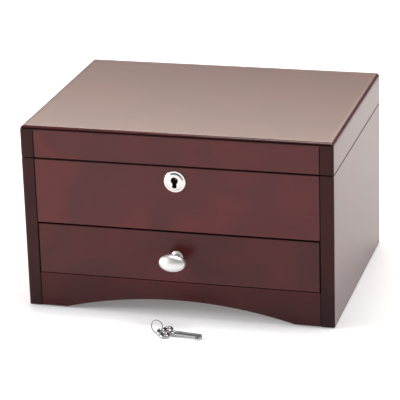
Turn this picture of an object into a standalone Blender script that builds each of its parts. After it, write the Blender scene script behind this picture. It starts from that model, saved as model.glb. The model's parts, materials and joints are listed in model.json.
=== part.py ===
# Jewelry chest: lacquered case, hinged lid, one drawer, box lock, and its key on a ring.
# Metres, +Z up, the front faces -Y, and the chest stands on z = 0.
# The origin is on that surface, in the middle of the footprint of the chest and its key.

import math

import bmesh
import bpy
from mathutils import Matrix, Vector

for old_object in list(bpy.data.objects):
    bpy.data.objects.remove(old_object, do_unlink=True)

# Whole chest
chest_width = 0.290
chest_depth = 0.220
wood_height = 0.1745
seam_gap = 0.0006
seam_chamfer = 0.0007
corner_radius = 0.00235
glue_line = 0.00008
edge_easing = 0.0004
cut_overrun = 0.001

# Case boards
panel_thickness = 0.0127
back_thickness = 0.0095
floor_thickness = 0.006
bottom_thickness = 0.006
apron_lift = 0.0004
arch_shoulder = 0.0243
arch_rise = 0.0144

# Foot pads
foot_thickness = 0.001
foot_radius = 0.005
foot_inset = 0.008

# Lid
lid_height = 0.0302
lid_top_thickness = 0.0095
lid_top_radius = 0.0042
lid_lip_thickness = 0.0046
shadow_line_drop = 0.0016
shadow_line_width = 0.0013
shadow_line_depth = 0.0016
lid_pad_thickness = 0.003
lid_pad_margin = 0.0006
mirror_margin = 0.022
mirror_thickness = 0.003
mirror_bevel = 0.001

# Drawer
drawer_top_line = 0.0818
drawer_bottom_line = 0.0329
drawer_top_gap = 0.0013
drawer_bottom_gap = 0.0004
drawer_side_gap = 0.0006
drawer_box_gap = 0.001
drawer_run_gap = 0.0003
drawer_side_thickness = 0.008
drawer_side_drop = 0.0081
drawer_back_clearance = 0.0045
drawer_bottom_thickness = 0.004
drawer_bottom_rise = 0.003
groove_depth = 0.003
groove_clearance = 0.00015

# Linings, dividers and ring rolls
pad_thickness = 0.002
pad_corner = 0.003
pad_gap = 0.0003
divider_thickness = 0.005
divider_drop = 0.0194
ring_bank_width = 0.126
ring_roll_pitch = 0.0205
ring_roll_height = 0.024
ring_roll_draw_in = 0.007
back_divider_offset = 0.035

# Drawer knob
knob_rise = 0.0012
knob_width = 0.025
knob_tall = 0.0165
knob_head_depth = 0.013
knob_reach = 0.0235
knob_flange_radius = 0.0055
knob_flange_thickness = 0.0014
knob_neck_radius = 0.0033
knob_neck_fillet = 0.0012
knob_screw_radius = 0.0018
knob_screw_clearance = 0.0002
knob_screw_grip = 0.007
knob_screw_head_radius = 0.0038
knob_screw_head_height = 0.0022

# Escutcheon and keyhole
escutcheon_drop = 0.0012
escutcheon_radius = 0.010
escutcheon_thickness = 0.0016
escutcheon_rim = 0.0015
key_below_seam = 0.013
keyhole_radius = 0.0034
keyhole_slot_width = 0.0041
keyhole_drop = 0.007
keyhole_ease = 0.0003

# Box lock
lock_width = 0.034
lock_depth = 0.0066
lock_height = 0.0213
lock_ear = 0.005
lock_plate_thickness = 0.001
lock_wall = 0.001
lock_fit = 0.0003
drill_pin_radius = 0.001
drill_pin_length = 0.0092
drill_pin_fit = 0.00008
bolt_thickness = 0.0014
bolt_bar_bottom = 0.0028
bolt_bar_height = 0.0027
bolt_end_gap = 0.0015
bolt_right_reach = 0.006
bolt_hook_width = 0.0028
bolt_travel = 0.0035
bolt_stop_gap = 0.0003
bolt_tongue_height = 0.0022
bolt_head_gap = 0.0016
bolt_gap = 0.0005
bolt_shelf_thickness = 0.001
bolt_shelf_gap = 0.0003
bolt_shelf_start = 0.0052
talon_half_width = 0.0022
talon_depth = 0.002

# Strike plate in the lid
strike_length = 0.040
strike_width = 0.006
strike_thickness = 0.0012
strike_fit = 0.0003
staple_inset = 0.009
staple_thickness = 0.0022
staple_wall = 0.0007
staple_clearance = 0.0004
staple_eye_ease = 0.00025
staple_foot = 0.001

# Hinges
hinge_inset = 0.060
hinge_length = 0.025
hinge_leaf_depth = 0.007
hinge_leaf_thickness = 0.0012
knuckle_clearance = 0.0004
knuckle_radius = 0.0022
knuckle_gap = 0.0003
hinge_pin_radius = 0.0009
hinge_pin_fit = 0.00009
hinge_pin_head = 0.0003
hinge_screw_offset = 0.0075

# Wood screws
screw_head_radius = 0.0018
screw_head_height = 0.0011
screw_shank_radius = 0.00095
screw_length = 0.007
screw_tip = 0.0015
screw_slot_width = 0.0005
screw_slot_depth = 0.0004
screw_fit = 0.00012

# Key and ring
key_side = 0.0077
key_distance = 0.0436
key_yaw = math.radians(-4.2)
key_shaft_radius = 0.00235
key_shaft_length = 0.0255
key_bore_radius = 0.00145
key_bore_depth = 0.012
key_bead_step = 0.00035
key_bead_half_length = 0.0009
key_tip_easing = 0.0003
bow_distance = 0.0076
bow_lobe_spread = 0.0048
bow_lobe_radius = 0.0036
bow_wire_radius = 0.001
bow_hub_radius = 0.0017
bit_length = 0.0036
bit_reach = 0.0046
bit_thickness = 0.0014
bit_setback = 0.0012
ring_radius = 0.0061
ring_wire_radius = 0.0004
ring_floor_gap = 0.00005
ring_heading = math.radians(-18)
ring_lean = math.radians(6)

# Shares of the sizes they follow
ring_roll_end_share = 0.55
roll_fullness_share = 0.7
seam_middle_share = 0.5
lock_screw_share = 0.5
screw_point_share = 1 / 3
middle_knuckle_share = 1 / 3

# Counts
round_steps = 4
top_round_steps = 6
pad_steps = 3
arch_steps = 28
turn_steps = 20
small_turn_steps = 14
knob_steps = 36
knob_head_rings = 12
lobe_steps = 22
lobe_sides = 10
ring_steps = 40
ring_sides = 8
roll_sides = 16
roll_end_rings = 4
ring_roll_count = 4
keyhole_steps = 14

hinge_axis_reach = knuckle_radius + knuckle_clearance

# Heights of the wood
wood_bottom = foot_thickness
seam_z = wood_bottom + wood_height - lid_height
case_top = seam_z - seam_gap * seam_middle_share
lid_bottom = seam_z + seam_gap * seam_middle_share
wood_top = wood_bottom + wood_height
lid_rail_top = wood_top - lid_lip_thickness - glue_line
drawer_front_top = wood_bottom + drawer_top_line - drawer_top_gap / 2
drawer_front_bottom = wood_bottom + drawer_bottom_line + drawer_bottom_gap / 2
front_panel_bottom = drawer_front_top + drawer_top_gap
apron_top = drawer_front_bottom - drawer_bottom_gap
compartment_floor_top = front_panel_bottom + floor_thickness
lining_top = compartment_floor_top + glue_line + pad_thickness

# Front to back: the origin is halfway between the key's near edge and the hinges' barrels
bow_half_width = bow_lobe_spread + bow_lobe_radius + bow_wire_radius
front_reach = key_distance + bow_half_width
back_reach = hinge_axis_reach + knuckle_radius
front_y = -(chest_depth + back_reach - front_reach) / 2
back_y = front_y + chest_depth
front_inner_y = front_y + panel_thickness
back_inner_y = back_y - back_thickness
hinge_y = back_y + hinge_axis_reach
half_width = chest_width / 2
inner_half_width = half_width - panel_thickness
arch_half_chord = inner_half_width - arch_shoulder

# The key lies on its bead, its tip and one lobe of its bow
key_bead_radius = key_shaft_radius + key_bead_step
key_pitch = math.asin((key_bead_radius - key_shaft_radius) / key_shaft_length)
bow_z = key_bead_radius + bow_distance * math.sin(key_pitch)
end_lobe_z = key_bead_radius + (bow_distance + bow_lobe_spread) * math.sin(key_pitch)
key_tilt = math.asin((bow_z - bow_wire_radius) / (bow_half_width - bow_wire_radius))

# Lock: its axis, its open face and the line that the bolt and the staples share
key_z = seam_z - key_below_seam
lock_front_y = front_inner_y - lock_depth
staple_half_width = bolt_thickness / 2 + staple_eye_ease + staple_wall
staple_y = (lock_front_y + front_inner_y - lock_plate_thickness) / 2
lock_plate_width = lock_width + 2 * lock_ear
bolt_left_reach = lock_width / 2 - lock_wall - bolt_end_gap
bolt_bar_top = bolt_bar_bottom + bolt_bar_height
bolt_tongue_top = case_top - key_z - lock_plate_thickness - bolt_head_gap
bolt_tongue_bottom = bolt_tongue_top - bolt_tongue_height
bolt_tongue_length = bolt_travel - bolt_gap + bolt_stop_gap
staple_offset = lock_width / 2 - staple_inset

smooth_angle = math.radians(35)
round_bevel_share = 0.5
same_way = math.cos(math.radians(1))
knob_last_angle = math.radians(84)
sides = {
    "left": Vector((-1, 0, 0)),
    "right": Vector((1, 0, 0)),
    "front": Vector((0, -1, 0)),
    "back": Vector((0, 1, 0)),
    "bottom": Vector((0, 0, -1)),
    "top": Vector((0, 0, 1)),
}
along_x = Matrix.Rotation(math.radians(90), 4, "Y")
along_minus_y = Matrix.Rotation(math.radians(90), 4, "X")
along_y = Matrix.Rotation(math.radians(-90), 4, "X")
upside_down = Matrix.Rotation(math.radians(180), 4, "X")

# Each look is a colour, a roughness and a metallic value
looks = {
    "red lacquer": ((0.105, 0.028, 0.030), 0.32, 0.0),
    "bare stained wood": ((0.090, 0.030, 0.026), 0.65, 0.0),
    "satin nickel": ((0.62, 0.60, 0.58), 0.30, 1.0),
    "polished nickel": ((0.72, 0.71, 0.69), 0.15, 1.0),
    "brass": ((0.66, 0.49, 0.22), 0.28, 1.0),
    "steel": ((0.50, 0.50, 0.50), 0.35, 1.0),
    "ivory velvet": ((0.58, 0.50, 0.39), 0.95, 0.0),
    "mirror glass": ((0.85, 0.87, 0.88), 0.03, 1.0),
    "black felt": ((0.02, 0.02, 0.02), 0.95, 0.0),
}


# Building blocks


def new_material(name, look):
    colour, roughness, metallic = looks[look]
    material = bpy.data.materials.new(f"{name} {look}")
    material.use_nodes = True
    shader = material.node_tree.nodes["Principled BSDF"]
    shader.inputs["Base Color"].default_value = (*colour, 1)
    shader.inputs["Roughness"].default_value = roughness
    shader.inputs["Metallic"].default_value = metallic
    return material


def mesh_of(name, bm):
    bmesh.ops.recalc_face_normals(bm, faces=bm.faces)
    mesh = bpy.data.meshes.new(name)
    bm.to_mesh(mesh)
    bm.free()
    mesh.shade_smooth()
    mesh.set_sharp_from_angle(angle=smooth_angle)
    return mesh


def add_piece(name, mesh, look, place, parent=None, turn=(0, 0, 0)):
    piece = bpy.data.objects.new(name, mesh)
    bpy.context.scene.collection.objects.link(piece)
    origin = parent.location if parent else Vector((0, 0, 0))
    piece.location = Vector(place) - origin
    piece.rotation_euler = turn
    piece.parent = parent
    if not mesh.materials:
        mesh.materials.append(new_material(name, look))
    return piece


def add_pivot(name, place, turn=(0, 0, 0)):
    pivot = bpy.data.objects.new(name, None)
    bpy.context.scene.collection.objects.link(pivot)
    pivot.location = place
    pivot.rotation_euler = turn
    return pivot


def combine(piece, operation, helper):
    """Cuts a hidden helper from a piece, or joins it on."""
    helper.hide_render = True
    helper.display_type = "WIRE"
    modifier = piece.modifiers.new(helper.name, "BOOLEAN")
    modifier.operation = operation
    modifier.solver = "EXACT"
    modifier.object = helper


def baked_mesh(piece):
    """The mesh of a piece about the world's origin, modifiers applied, for copies to share."""
    bpy.context.view_layer.update()
    graph = bpy.context.evaluated_depsgraph_get()
    mesh = bpy.data.meshes.new_from_object(piece.evaluated_get(graph))
    mesh.transform(piece.matrix_world)
    helpers = [modifier.object for modifier in piece.modifiers]
    for used in [*helpers, piece]:
        bpy.data.objects.remove(used, do_unlink=True)
    mesh.materials.clear()
    mesh.shade_smooth()
    mesh.set_sharp_from_angle(angle=smooth_angle)
    return mesh


def box_shape(low, high):
    bm = bmesh.new()
    size = Vector(high) - Vector(low)
    bmesh.ops.create_cube(bm, size=1, matrix=Matrix.Diagonal((*size, 1)))
    return bm


def middle(low, high):
    return (Vector(low) + Vector(high)) / 2


def add_helper(name, bm, place, parent=None, turn=(0, 0, 0)):
    helper = add_piece(name, mesh_of(name, bm), "steel", place, parent, turn)
    helper.hide_render = True
    helper.display_type = "WIRE"
    return helper


def cut_box(piece, name, low, high, parent=None):
    combine(piece, "DIFFERENCE", add_helper(name, box_shape(low, high), middle(low, high), parent))


def join_box(piece, name, low, high, parent=None):
    combine(piece, "UNION", add_helper(name, box_shape(low, high), middle(low, high), parent))


def bevel_edges(bm, edges, width, steps):
    bmesh.ops.bevel(
        bm, geom=edges, offset=width, segments=steps, profile=round_bevel_share, affect="EDGES"
    )
    bm.normal_update()


def corner_edges(bm, first, second):
    """The straight edges where the flat faces of two sides meet."""

    def meets(edge, side):
        return any(face.normal.dot(sides[side]) > same_way for face in edge.link_faces)

    return [edge for edge in bm.edges if meets(edge, first) and meets(edge, second)]


def rim_edges(bm, side, kept_sharp):
    """The edges round the flat face of one side, but for those shared with the sides kept sharp."""
    flat = max(bm.faces, key=lambda face: (face.normal.dot(sides[side]) > same_way, face.calc_area()))
    return [
        edge
        for edge in flat.edges
        if not any(
            face.normal.dot(sides[kept]) > same_way for kept in kept_sharp for face in edge.link_faces
        )
    ]


def board(name, low, high, look, parent=None, corners=(), rims=()):
    """A flat board. corners is a list of (side, side, width, steps), rims of (side, sharp, width)."""
    bm = box_shape(low, high)
    bm.normal_update()
    for first, second, width, steps in corners:
        bevel_edges(bm, corner_edges(bm, first, second), width, steps)
    for side, kept_sharp, width in rims:
        bevel_edges(bm, rim_edges(bm, side, kept_sharp), width, 1)
    return add_piece(name, mesh_of(name, bm), look, middle(low, high), parent)


def loft(rings, closed=False):
    """A solid through rings with alike point counts, capped at its ends or closed on itself."""
    bm = bmesh.new()
    loops = [[bm.verts.new(point) for point in ring] for ring in rings]
    following = loops[1:] + ([loops[0]] if closed else [])
    for lower, upper in zip(loops, following):
        for here, there in zip(range(len(lower)), [*range(1, len(lower)), 0]):
            bm.faces.new((lower[here], lower[there], upper[there], upper[here]))
    if not closed:
        bm.faces.new(list(reversed(loops[0])))
        bm.faces.new(loops[-1])
    return bm


def prism(outline, low_y, high_y):
    """An outline of (x, z) points, made solid from one y to another."""
    return loft([[(x, y, z) for x, z in outline] for y in (low_y, high_y)])


def circle(radius, height, steps):
    angles = [2 * math.pi * step / steps for step in range(steps)]
    return [(radius * math.cos(angle), radius * math.sin(angle), height) for angle in angles]


def turned(profile, steps, turn=Matrix.Identity(4), closed=False):
    """A round solid from (radius, height) points along +Z, then turned to its direction."""
    bm = loft([circle(radius, height, steps) for radius, height in profile], closed)
    bmesh.ops.transform(bm, matrix=turn, verts=bm.verts)
    return bm


def wire_ring(radius, wire_radius, steps, wire_sides):
    """A round ring of wire, flat in XY about the origin."""
    profile = []
    for side in range(wire_sides):
        angle = 2 * math.pi * side / wire_sides
        profile.append((radius + wire_radius * math.cos(angle), wire_radius * math.sin(angle)))
    return turned(profile, steps, closed=True)


def rounded_rectangle(half_x, half_y, radius, height, steps):
    points = []
    for quarter in range(4):
        start = quarter * math.pi / 2
        centre_x = (half_x - radius) * (1 if quarter in (0, 3) else -1)
        centre_y = (half_y - radius) * (1 if quarter in (0, 1) else -1)
        for step in range(steps + 1):
            angle = start + math.pi / 2 * step / steps
            point = (centre_x + radius * math.cos(angle), centre_y + radius * math.sin(angle), height)
            points.append(point)
    return points


def slab(name, low, high, look, corner, rounding, steps, parent=None):
    """A board with round corners in plan and a rounded upper edge."""
    half = (Vector(high) - Vector(low)) / 2
    rings = [rounded_rectangle(half.x, half.y, corner, -half.z, round_steps)]
    for step in range(steps + 1):
        angle = math.pi / 2 * step / steps
        inset = rounding * (1 - math.cos(angle))
        kept_corner = max(corner - inset, corner * corner / (corner + rounding))
        height = half.z - rounding * (1 - math.sin(angle))
        ring = rounded_rectangle(half.x - inset, half.y - inset, kept_corner, height, round_steps)
        rings.append(ring)
    return add_piece(name, mesh_of(name, loft(rings)), look, middle(low, high), parent)


# Screws, made once and shared


def screw_profile(head_radius, head_height, shank_radius, length, tip):
    return [
        (head_radius, 0),
        (shank_radius, -head_height),
        (shank_radius, tip - length),
        (shank_radius * screw_point_share, -length),
    ]


def wood_screw_mesh():
    """A countersunk slotted screw that points down, its head's face at the origin."""
    profile = screw_profile(
        screw_head_radius, screw_head_height, screw_shank_radius, screw_length, screw_tip
    )
    screw = add_piece(
        "screw", mesh_of("screw", turned(profile, small_turn_steps)), "brass", (0, 0, 0)
    )
    reach = screw_head_radius + cut_overrun
    low = (-reach, -screw_slot_width / 2, -screw_slot_depth)
    high = (reach, screw_slot_width / 2, cut_overrun)
    cut_box(screw, "screw slot", low, high)
    return baked_mesh(screw)


def pilot_shape(turn=Matrix.Identity(4)):
    """The hole that a wood screw takes: a countersink over a bore."""
    head = screw_head_radius + screw_fit
    shank = screw_shank_radius + screw_fit
    profile = [
        (head, cut_overrun),
        (head, 0),
        (shank, -screw_head_height),
        (shank, -screw_length - screw_fit),
    ]
    return turned(profile, small_turn_steps, turn)


def drive_screw(name, mesh, place, targets, turn, parent=None):
    """Puts a screw in place and cuts its hole in each target."""
    angles = turn.to_euler()
    add_piece(name, mesh, "brass", place, parent, angles)
    for target in targets:
        hole = add_helper(f"{name} hole in {target.name}", pilot_shape(), place, parent, angles)
        combine(target, "DIFFERENCE", hole)


# Case


def make_side_panel(name, sign, low_z, high_z, seam_side, parent=None):
    """One side board of the case or the lid: round outer corners and an eased edge at the seam."""
    outer_side, inner_side = ("left", "right") if sign < 0 else ("right", "left")
    edges = sorted((sign * half_width, sign * inner_half_width))
    return board(
        name,
        (edges[0], front_y, low_z),
        (edges[1], back_y, high_z),
        "red lacquer",
        parent,
        corners=[
            (outer_side, "front", corner_radius, round_steps),
            (outer_side, "back", corner_radius, round_steps),
            (inner_side, "front", edge_easing, 1),
        ],
        rims=[(seam_side, (inner_side,), seam_chamfer)],
    )


def between_sides(name, low_y, high_y, low_z, high_z, look, parent=None, corners=(), rims=()):
    """A board glued in between the two side panels."""
    reach = inner_half_width - glue_line
    return board(
        name, (-reach, low_y, low_z), (reach, high_y, high_z), look, parent, corners, rims
    )


def make_apron():
    """The rail under the drawer, its lower edge cut to a shallow arch."""
    reach = inner_half_width - glue_line
    low_z = wood_bottom + apron_lift
    arch_radius = (arch_half_chord**2 + arch_rise**2) / (2 * arch_rise)
    half_angle = math.asin(arch_half_chord / arch_radius)
    arch_centre = low_z + arch_rise - arch_radius
    outline = [(-reach, apron_top), (-reach, low_z)]
    for step in range(arch_steps + 1):
        angle = half_angle * (2 * step / arch_steps - 1)
        outline.append((arch_radius * math.sin(angle), arch_centre + arch_radius * math.cos(angle)))
    outline += [(reach, low_z), (reach, apron_top)]
    centre = Vector((0, front_y + panel_thickness / 2, apron_top))
    local = [(x, z - centre.z) for x, z in outline]
    shape = prism(local, -panel_thickness / 2, panel_thickness / 2)
    bmesh.ops.recalc_face_normals(shape, faces=shape.faces)
    for side in ("left", "right"):
        bevel_edges(shape, corner_edges(shape, side, "front"), edge_easing, 1)
    return add_piece("apron", mesh_of("apron", shape), "red lacquer", centre)


def keyhole_outline(radius, slot_width, drop):
    """A round hole about the origin with a straight slot down from it."""
    half_slot = slot_width / 2
    start = -math.acos(half_slot / radius)
    sweep = math.pi - 2 * start
    outline = [(half_slot, -drop)]
    for step in range(keyhole_steps + 1):
        angle = start + sweep * step / keyhole_steps
        outline.append((radius * math.cos(angle), radius * math.sin(angle)))
    outline.append((-half_slot, -drop))
    return outline


def make_front_panel():
    """The fixed front above the drawer, bored for the keyhole and mortised for the lock."""
    panel = between_sides(
        "front_panel",
        front_y,
        front_inner_y,
        front_panel_bottom,
        case_top,
        "red lacquer",
        corners=[
            ("top", "front", seam_chamfer, 1),
            ("bottom", "front", edge_easing, 1),
            ("left", "front", edge_easing, 1),
            ("right", "front", edge_easing, 1),
        ],
    )
    outline = keyhole_outline(
        keyhole_radius + keyhole_ease,
        keyhole_slot_width + 2 * keyhole_ease,
        keyhole_drop + keyhole_ease,
    )
    bore = prism(outline, -cut_overrun, panel_thickness)
    combine(panel, "DIFFERENCE", add_helper("keyhole bore", bore, (0, front_y, key_z)))
    pocket_reach = lock_width / 2 + lock_fit
    plate_reach = lock_plate_width / 2 + lock_fit
    low_z = case_top - lock_height - lock_fit
    high = (pocket_reach, front_inner_y + cut_overrun, case_top + cut_overrun)
    cut_box(panel, "lock pocket", (-pocket_reach, lock_front_y - lock_fit, low_z), high)
    low = (-plate_reach, front_inner_y - lock_plate_thickness - lock_fit, low_z)
    high = (plate_reach, front_inner_y + cut_overrun, case_top + cut_overrun)
    cut_box(panel, "lock plate recess", low, high)
    low = (-plate_reach, lock_front_y - lock_fit, case_top - lock_plate_thickness - lock_fit)
    cut_box(panel, "lock top recess", low, high)
    return panel


def make_foot_pads():
    profile = [(foot_radius, 0), (foot_radius, foot_thickness - glue_line)]
    mesh = mesh_of("foot_pad", turned(profile, turn_steps))
    centre_x = half_width - panel_thickness / 2
    for end, y in (("front", front_y + foot_inset), ("back", back_y - foot_inset)):
        for hand, x in (("left", -centre_x), ("right", centre_x)):
            add_piece(f"foot_pad_{end}_{hand}", mesh, "black felt", (x, y, 0))


def make_case():
    for hand, sign in (("left", -1), ("right", 1)):
        make_side_panel(f"{hand}_side_panel", sign, wood_bottom, case_top, "top")
    back = between_sides(
        "back_panel",
        back_inner_y,
        back_y,
        wood_bottom,
        case_top,
        "red lacquer",
        corners=[("top", "back", seam_chamfer, 1)],
    )
    board_front = front_inner_y + glue_line
    board_back = back_inner_y - glue_line
    between_sides(
        "compartment_floor",
        board_front,
        board_back,
        front_panel_bottom,
        compartment_floor_top,
        "bare stained wood",
    )
    between_sides(
        "bottom_board",
        board_front,
        board_back,
        apron_top - bottom_thickness,
        apron_top,
        "bare stained wood",
    )
    make_apron()
    make_foot_pads()
    return back


# Lock


def make_escutcheon():
    """A round plate with a half-round rim, pierced by the keyhole."""
    half_rim = escutcheon_rim / 2
    profile = [(escutcheon_radius, 0)]
    for step in range(round_steps * 2 + 1):
        angle = math.pi * step / (round_steps * 2)
        radius = escutcheon_radius - half_rim + half_rim * math.cos(angle)
        profile.append((radius, escutcheon_thickness - half_rim + half_rim * math.sin(angle)))
    shape = turned(profile, knob_steps, along_minus_y)
    place = (0, front_y - glue_line, key_z - escutcheon_drop)
    plate = add_piece("escutcheon", mesh_of("escutcheon", shape), "polished nickel", place)
    outline = keyhole_outline(keyhole_radius, keyhole_slot_width, keyhole_drop)
    hole = prism(outline, -escutcheon_thickness - cut_overrun, cut_overrun)
    combine(plate, "DIFFERENCE", add_helper("keyhole", hole, (0, place[1], key_z)))


def make_lock_case(screw_mesh, panel):
    """A back plate, four walls open to the wood, and a top plate with two slots."""
    plate_reach = lock_plate_width / 2
    back = front_inner_y
    low_z = case_top - lock_height
    low = (-plate_reach, back - lock_plate_thickness, low_z)
    case = board("lock_case", low, (plate_reach, back, case_top), "steel")
    low = (-plate_reach, lock_front_y, case_top - lock_plate_thickness)
    join_box(case, "lock top plate", low, (plate_reach, back, case_top))
    reach = lock_width / 2
    join_box(case, "lock walls", (-reach, lock_front_y, low_z), (reach, back, case_top))
    low = (-reach + lock_wall, lock_front_y - cut_overrun, low_z + lock_wall)
    high = (reach - lock_wall, back - lock_plate_thickness, case_top - lock_plate_thickness)
    cut_box(case, "lock hollow", low, high)
    shelf_top = key_z + bolt_bar_bottom - bolt_shelf_gap
    slot_x = staple_thickness / 2 + staple_clearance
    slot_y = staple_half_width + staple_clearance
    for hand, sign in (("left", -1), ("right", 1)):
        shelf = sorted((sign * bolt_shelf_start, sign * (reach - lock_wall / 2)))
        low = (shelf[0], lock_front_y, shelf_top - bolt_shelf_thickness)
        join_box(case, f"bolt shelf {hand}", low, (shelf[1], back, shelf_top))
        x = sign * staple_offset
        low = (x - slot_x, staple_y - slot_y, case_top - lock_plate_thickness - cut_overrun)
        high = (x + slot_x, staple_y + slot_y, case_top + cut_overrun)
        cut_box(case, f"staple slot {hand}", low, high)
    rivet = turned(
        [(drill_pin_radius + drill_pin_fit, -cut_overrun), (drill_pin_radius + drill_pin_fit, lock_depth)],
        small_turn_steps,
        along_minus_y,
    )
    combine(case, "DIFFERENCE", add_helper("drill pin hole", rivet, (0, back, key_z)))
    screw_x = (plate_reach + lock_width / 2) * lock_screw_share
    for hand, sign in (("left", -1), ("right", 1)):
        place = (sign * screw_x, back, key_z)
        drive_screw(f"lock_screw_{hand}", screw_mesh, place, [case, panel], along_y)


def make_drill_pin():
    """The pin that the hollow key slides over, riveted in the lock's back plate."""
    tip = drill_pin_radius / 2
    profile = [
        (drill_pin_radius, 0),
        (drill_pin_radius, drill_pin_length - tip),
        (drill_pin_radius - tip, drill_pin_length),
    ]
    shape = turned(profile, small_turn_steps, along_minus_y)
    mesh = mesh_of("lock_drill_pin", shape)
    add_piece("lock_drill_pin", mesh, "steel", (0, front_inner_y, key_z))


def make_bolt():
    """A bar with a notch for the key's bit, and two tongues that enter the staples from the left."""
    pivot = add_pivot("lock bolt travel", (0, staple_y, key_z))
    staple_face = staple_offset + staple_thickness / 2 + bolt_gap
    left_tip = -staple_face
    right_tip = 2 * staple_offset - staple_face
    left_hook = left_tip - bolt_tongue_length
    right_hook = right_tip - bolt_tongue_length
    outline = [
        (-bolt_left_reach, bolt_bar_bottom),
        (-talon_half_width, bolt_bar_bottom),
        (-talon_half_width, bolt_bar_bottom + talon_depth),
        (talon_half_width, bolt_bar_bottom + talon_depth),
        (talon_half_width, bolt_bar_bottom),
        (bolt_right_reach, bolt_bar_bottom),
        (bolt_right_reach, bolt_bar_top),
        (right_hook, bolt_bar_top),
        (right_hook, bolt_tongue_bottom),
        (right_tip, bolt_tongue_bottom),
        (right_tip, bolt_tongue_top),
        (right_hook - bolt_hook_width, bolt_tongue_top),
        (right_hook - bolt_hook_width, bolt_bar_top),
        (left_hook, bolt_bar_top),
        (left_hook, bolt_tongue_bottom),
        (left_tip, bolt_tongue_bottom),
        (left_tip, bolt_tongue_top),
        (-bolt_left_reach, bolt_tongue_top),
    ]
    shape = prism(outline, -bolt_thickness / 2, bolt_thickness / 2)
    add_piece("lock_bolt", mesh_of("lock_bolt", shape), "steel", pivot.location, pivot)


# Lid


def make_strike_plate(screw_mesh, rail, hinge):
    """The plate under the lid's front rail, with the two staples that the bolt runs through."""
    half = strike_length / 2
    low = (-half, staple_y - strike_width / 2, lid_bottom)
    high = (half, staple_y + strike_width / 2, lid_bottom + strike_thickness)
    plate = board("strike_plate", low, high, "steel", hinge)
    eye_bottom = key_z + bolt_tongue_bottom - staple_eye_ease
    eye_top = key_z + bolt_tongue_top + staple_eye_ease
    for hand, sign in (("left", -1), ("right", 1)):
        x = sign * staple_offset
        low = (x - staple_thickness / 2, staple_y - staple_half_width, eye_bottom - staple_foot)
        high = (x + staple_thickness / 2, staple_y + staple_half_width, lid_bottom + strike_thickness)
        join_box(plate, f"staple {hand}", low, high, hinge)
    eye_half = bolt_thickness / 2 + staple_eye_ease
    low = (-half, staple_y - eye_half, eye_bottom)
    cut_box(plate, "staple eyes", low, (half, staple_y + eye_half, eye_top), hinge)
    reach = strike_width / 2 + strike_fit
    low = (-half - strike_fit, staple_y - reach, lid_bottom - cut_overrun)
    high = (half + strike_fit, staple_y + reach, lid_bottom + strike_thickness + glue_line)
    cut_box(rail, "strike recess", low, high, hinge)
    screw_x = (half + staple_offset) * lock_screw_share
    for hand, sign in (("left", -1), ("right", 1)):
        place = (sign * screw_x, staple_y, lid_bottom)
        drive_screw(f"strike_screw_{hand}", screw_mesh, place, [plate, rail], upside_down, hinge)


def make_lid_top(hinge):
    """The top: a lip over the four rails, a thicker middle let in between them, and a shadow line."""
    lip_z = wood_top - lid_lip_thickness
    low = (-half_width, front_y, lip_z)
    high = (half_width, back_y, wood_top)
    rounding = (corner_radius, lid_top_radius, top_round_steps)
    top = slab("lid_top", low, high, "red lacquer", *rounding, hinge)
    reach = inner_half_width - glue_line
    low = (-reach, front_inner_y + glue_line, wood_top - lid_top_thickness)
    high = (reach, back_inner_y - glue_line, lip_z + lid_lip_thickness / 2)
    join_box(top, "lid middle", low, high, hinge)
    reach = half_width - corner_radius
    low = (-reach, front_y - cut_overrun, wood_top - shadow_line_drop - shadow_line_width)
    high = (reach, front_y + shadow_line_depth, wood_top - shadow_line_drop)
    cut_box(top, "shadow line", low, high, hinge)


def make_lid(hinge):
    """Two side rails, a front and a back rail, and the top. It returns the front and back rails."""
    for hand, sign in (("left", -1), ("right", 1)):
        make_side_panel(f"lid_{hand}_rail", sign, lid_bottom, lid_rail_top, "bottom", hinge)
    front = between_sides(
        "lid_front_rail",
        front_y,
        front_inner_y,
        lid_bottom,
        lid_rail_top,
        "red lacquer",
        hinge,
        corners=[
            ("bottom", "front", seam_chamfer, 1),
            ("left", "front", edge_easing, 1),
            ("right", "front", edge_easing, 1),
        ],
    )
    back = between_sides(
        "lid_back_rail",
        back_inner_y,
        back_y,
        lid_bottom,
        lid_rail_top,
        "red lacquer",
        hinge,
        corners=[("bottom", "back", seam_chamfer, 1)],
    )
    make_lid_top(hinge)
    pad_top = wood_top - lid_top_thickness - glue_line
    pad_bottom = pad_top - lid_pad_thickness
    reach = inner_half_width - lid_pad_margin
    low = (-reach, front_inner_y + lid_pad_margin, pad_bottom)
    high = (reach, back_inner_y - lid_pad_margin, pad_top)
    board("lid_lining", low, high, "ivory velvet", hinge)
    mirror_top = pad_bottom - glue_line
    reach = inner_half_width - mirror_margin
    low = (-reach, front_inner_y + mirror_margin, mirror_top - mirror_thickness)
    high = (reach, back_inner_y - mirror_margin, mirror_top)
    rims = [("bottom", (), mirror_bevel)]
    board("lid_mirror", low, high, "mirror glass", hinge, rims=rims)
    return front, back


# Hinges


def knuckle_spans(upper):
    """Where a leaf's own knuckles lie along the axis: the upper leaf has the middle one."""
    half_middle = hinge_length * middle_knuckle_share / 2
    half_gap = knuckle_gap / 2
    if upper:
        return [(half_gap - half_middle, half_middle - half_gap)]
    start = half_middle + half_gap
    return [(-hinge_length / 2, -start), (start, hinge_length / 2)]


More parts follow.
